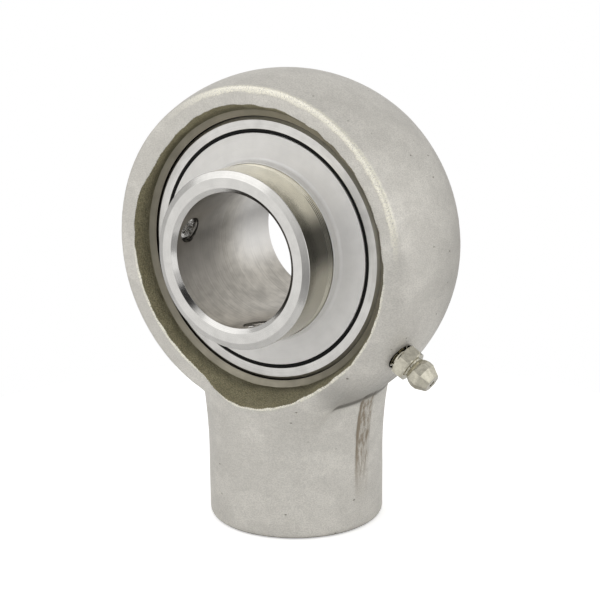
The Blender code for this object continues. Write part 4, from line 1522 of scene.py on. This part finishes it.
def build_world():
    """White room: bright softboxes in some directions and darker gaps in others."""
    world = bpy.data.worlds.new("studio")
    world.use_nodes = True
    tree = world.node_tree
    tree.nodes.clear()
    direction = add_node(tree, "ShaderNodeTexCoord").outputs["Generated"]
    total = ROOM_LEVEL
    for toward, outer, inner, amount in ROOM_PATCHES:
        aim = Vector(toward).normalized()
        facing = add_node(
            tree, "ShaderNodeVectorMath", {0: direction, 1: aim}, operation="DOT_PRODUCT")
        total = plus(tree, ramp(tree, facing.outputs["Value"], outer, inner, 0.0, amount), total)
    strength = maths(tree, "MAXIMUM", total, ROOM_LEAST)
    lit = add_node(tree, "ShaderNodeBackground", {"Color": ROOM_WHITE, "Strength": strength})
    white = add_node(tree, "ShaderNodeBackground", {"Color": (1.0, 1.0, 1.0, 1.0), "Strength": 1.0})
    seen = add_node(tree, "ShaderNodeLightPath").outputs["Is Camera Ray"]
    chosen = add_node(
        tree, "ShaderNodeMixShader", {0: seen, 1: lit.outputs[0], 2: white.outputs[0]})
    add_node(tree, "ShaderNodeOutputWorld", {"Surface": chosen.outputs[0]})
    bpy.context.scene.world = world


SOFTBOXES = (                # name, place, side and power
    ("key_softbox", (-0.35, -0.45, 0.55), 0.70, 0.9),
    ("front_softbox", (0.50, -0.60, 0.10), 0.45, 0.42),
    ("side_softbox", (0.65, -0.10, 0.30), 0.60, 0.7))


def build_softbox(name, place, size, power):
    data = bpy.data.lights.new(name, "AREA")
    data.shape = "SQUARE"
    data.size = size
    data.energy = power
    light = bpy.data.objects.new(name, data)
    place = Vector(place)
    aim = (CENTRE - place).to_track_quat("-Z", "Y")
    light.matrix_world = Matrix.Translation(place) @ aim.to_matrix().to_4x4()
    bpy.context.scene.collection.objects.link(light)


FLOOR_RADIUS = 0.12
PAPER_LOW = (0.93, 0.93, 0.93, 1.0)
PAPER_HIGH = (0.96, 0.96, 0.96, 1.0)
FLOOR_GLOW = 0.46            # only for the camera, so the paper is white but doesn't light the unit


def build_floor():
    bm = bmesh.new()
    bmesh.ops.create_circle(bm, cap_ends=True, segments=96, radius=FLOOR_RADIUS)
    mesh = to_mesh("floor", bm, Matrix.Translation((0.0, 0.0, HOUSING_LOW.z)))
    made = bpy.data.materials.new("floor_paper")
    made.use_nodes = True
    tree = made.node_tree
    shader = tree.nodes["Principled BSDF"]
    point = add_node(tree, "ShaderNodeTexCoord").outputs["Object"]
    tint = mix(tree, noise_value(tree, point, 30.0), PAPER_LOW, PAPER_HIGH)
    tree.links.new(tint, shader.inputs["Base Color"])
    shader.inputs["Roughness"].default_value = 0.7
    shader.inputs["Emission Color"].default_value = (1.0, 1.0, 1.0, 1.0)
    seen = add_node(tree, "ShaderNodeLightPath").outputs["Is Camera Ray"]
    tree.links.new(times(tree, seen, FLOOR_GLOW), shader.inputs["Emission Strength"])
    floor = new_object("floor", mesh, [made])


def build_stage():
    build_camera()
    build_world()
    build_floor()
    for softbox in SOFTBOXES:
        build_softbox(*softbox)
    bpy.context.scene.view_settings.view_transform = "Standard"


# ---------------------------------------------------------------------------
# Operators and panel
# ---------------------------------------------------------------------------

class MakeStage(bpy.types.Operator):
    """Set up the camera, the floor and the soft studio light"""
    bl_idname = "bearing.stage"
    bl_label = "Stage"

    def execute(self, context):
        build_stage()
        return {"FINISHED"}


class MakeHousing(bpy.types.Operator):
    """Model the cast housing with its pocket, seat, threaded socket and grease passage"""
    bl_idname = "bearing.housing"
    bl_label = "Housing"

    def execute(self, context):
        build_housing()
        return {"FINISHED"}


class MakeOuterRing(bpy.types.Operator):
    """Model the outer ring with its raceway, seal seats and grease groove"""
    bl_idname = "bearing.outer_ring"
    bl_label = "Outer ring"

    def execute(self, context):
        build_outer_ring()
        return {"FINISHED"}


class MakeInnerRing(bpy.types.Operator):
    """Model the wide inner ring with its two tapped holes"""
    bl_idname = "bearing.inner_ring"
    bl_label = "Inner ring"

    def execute(self, context):
        build_inner_ring()
        return {"FINISHED"}


class MakeBalls(bpy.types.Operator):
    """Model the rolling balls"""
    bl_idname = "bearing.balls"
    bl_label = "Balls"

    def execute(self, context):
        build_balls()
        return {"FINISHED"}


class MakeCage(bpy.types.Operator):
    """Model both halves of the ribbon cage"""
    bl_idname = "bearing.cage"
    bl_label = "Cage"

    def execute(self, context):
        build_cage()
        return {"FINISHED"}


class MakeRivets(bpy.types.Operator):
    """Model the rivets that hold the cage halves together"""
    bl_idname = "bearing.rivets"
    bl_label = "Rivets"

    def execute(self, context):
        build_rivets()
        return {"FINISHED"}


class MakeFlingers(bpy.types.Operator):
    """Model the pressed flingers on both sides"""
    bl_idname = "bearing.flingers"
    bl_label = "Flingers"

    def execute(self, context):
        build_flingers()
        return {"FINISHED"}


class MakeSeals(bpy.types.Operator):
    """Model the rubber seals and their steel cores"""
    bl_idname = "bearing.seals"
    bl_label = "Seals"

    def execute(self, context):
        build_seals()
        return {"FINISHED"}


class MakeSetScrews(bpy.types.Operator):
    """Model the cup point set screws"""
    bl_idname = "bearing.set_screws"
    bl_label = "Set screws"

    def execute(self, context):
        build_set_screws()
        return {"FINISHED"}


class MakeNipple(bpy.types.Operator):
    """Model the grease nipple with its hexagon and faceted head"""
    bl_idname = "bearing.nipple"
    bl_label = "Grease nipple"

    def execute(self, context):
        build_nipple()
        return {"FINISHED"}


class MakeCheckBall(bpy.types.Operator):
    """Model the ball that closes the nipple"""
    bl_idname = "bearing.check_ball"
    bl_label = "Check ball"

    def execute(self, context):
        build_check_ball()
        return {"FINISHED"}


class MakeSpring(bpy.types.Operator):
    """Model the spring behind the check ball"""
    bl_idname = "bearing.spring"
    bl_label = "Spring"

    def execute(self, context):
        build_spring()
        return {"FINISHED"}


STEPS = (
    MakeStage, MakeHousing, MakeOuterRing, MakeInnerRing, MakeBalls, MakeCage, MakeRivets,
    MakeFlingers, MakeSeals, MakeSetScrews, MakeNipple, MakeCheckBall, MakeSpring)


class BearingPanel(bpy.types.Panel):
    """Lists the pieces of the bearing unit"""
    bl_idname = "VIEW3D_PT_bearing_unit"
    bl_label = "Bearing unit"
    bl_space_type = "VIEW_3D"
    bl_region_type = "UI"
    bl_category = "Bearing"

    def draw(self, context):
        for step in STEPS:
            self.layout.operator(step.bl_idname)
        for group in ("bearing_housing", "bearing_rings", "bearing_finishes"):
            settings = getattr(context.scene, group)
            box = self.layout.box()
            for label in settings.__annotations__:
                box.prop(settings, label)


SETTINGS = {
    "bearing_housing": HousingSizes, "bearing_rings": BearingSizes,
    "bearing_finishes": FinishColours}


def register():
    for group, kind in SETTINGS.items():
        bpy.utils.register_class(kind)
        setattr(bpy.types.Scene, group, bpy.props.PointerProperty(type=kind))
    for step in STEPS:
        bpy.utils.register_class(step)
    bpy.utils.register_class(BearingPanel)


def unregister():
    bpy.utils.unregister_class(BearingPanel)
    for step in reversed(STEPS):
        bpy.utils.unregister_class(step)
    for group, kind in SETTINGS.items():
        delattr(bpy.types.Scene, group)
        bpy.utils.unregister_class(kind)


def main():
    register()
    for step in STEPS:
        space, name = step.bl_idname.split(".")
        getattr(getattr(bpy.ops, space), name)()


if __name__ == "__main__":
    main()
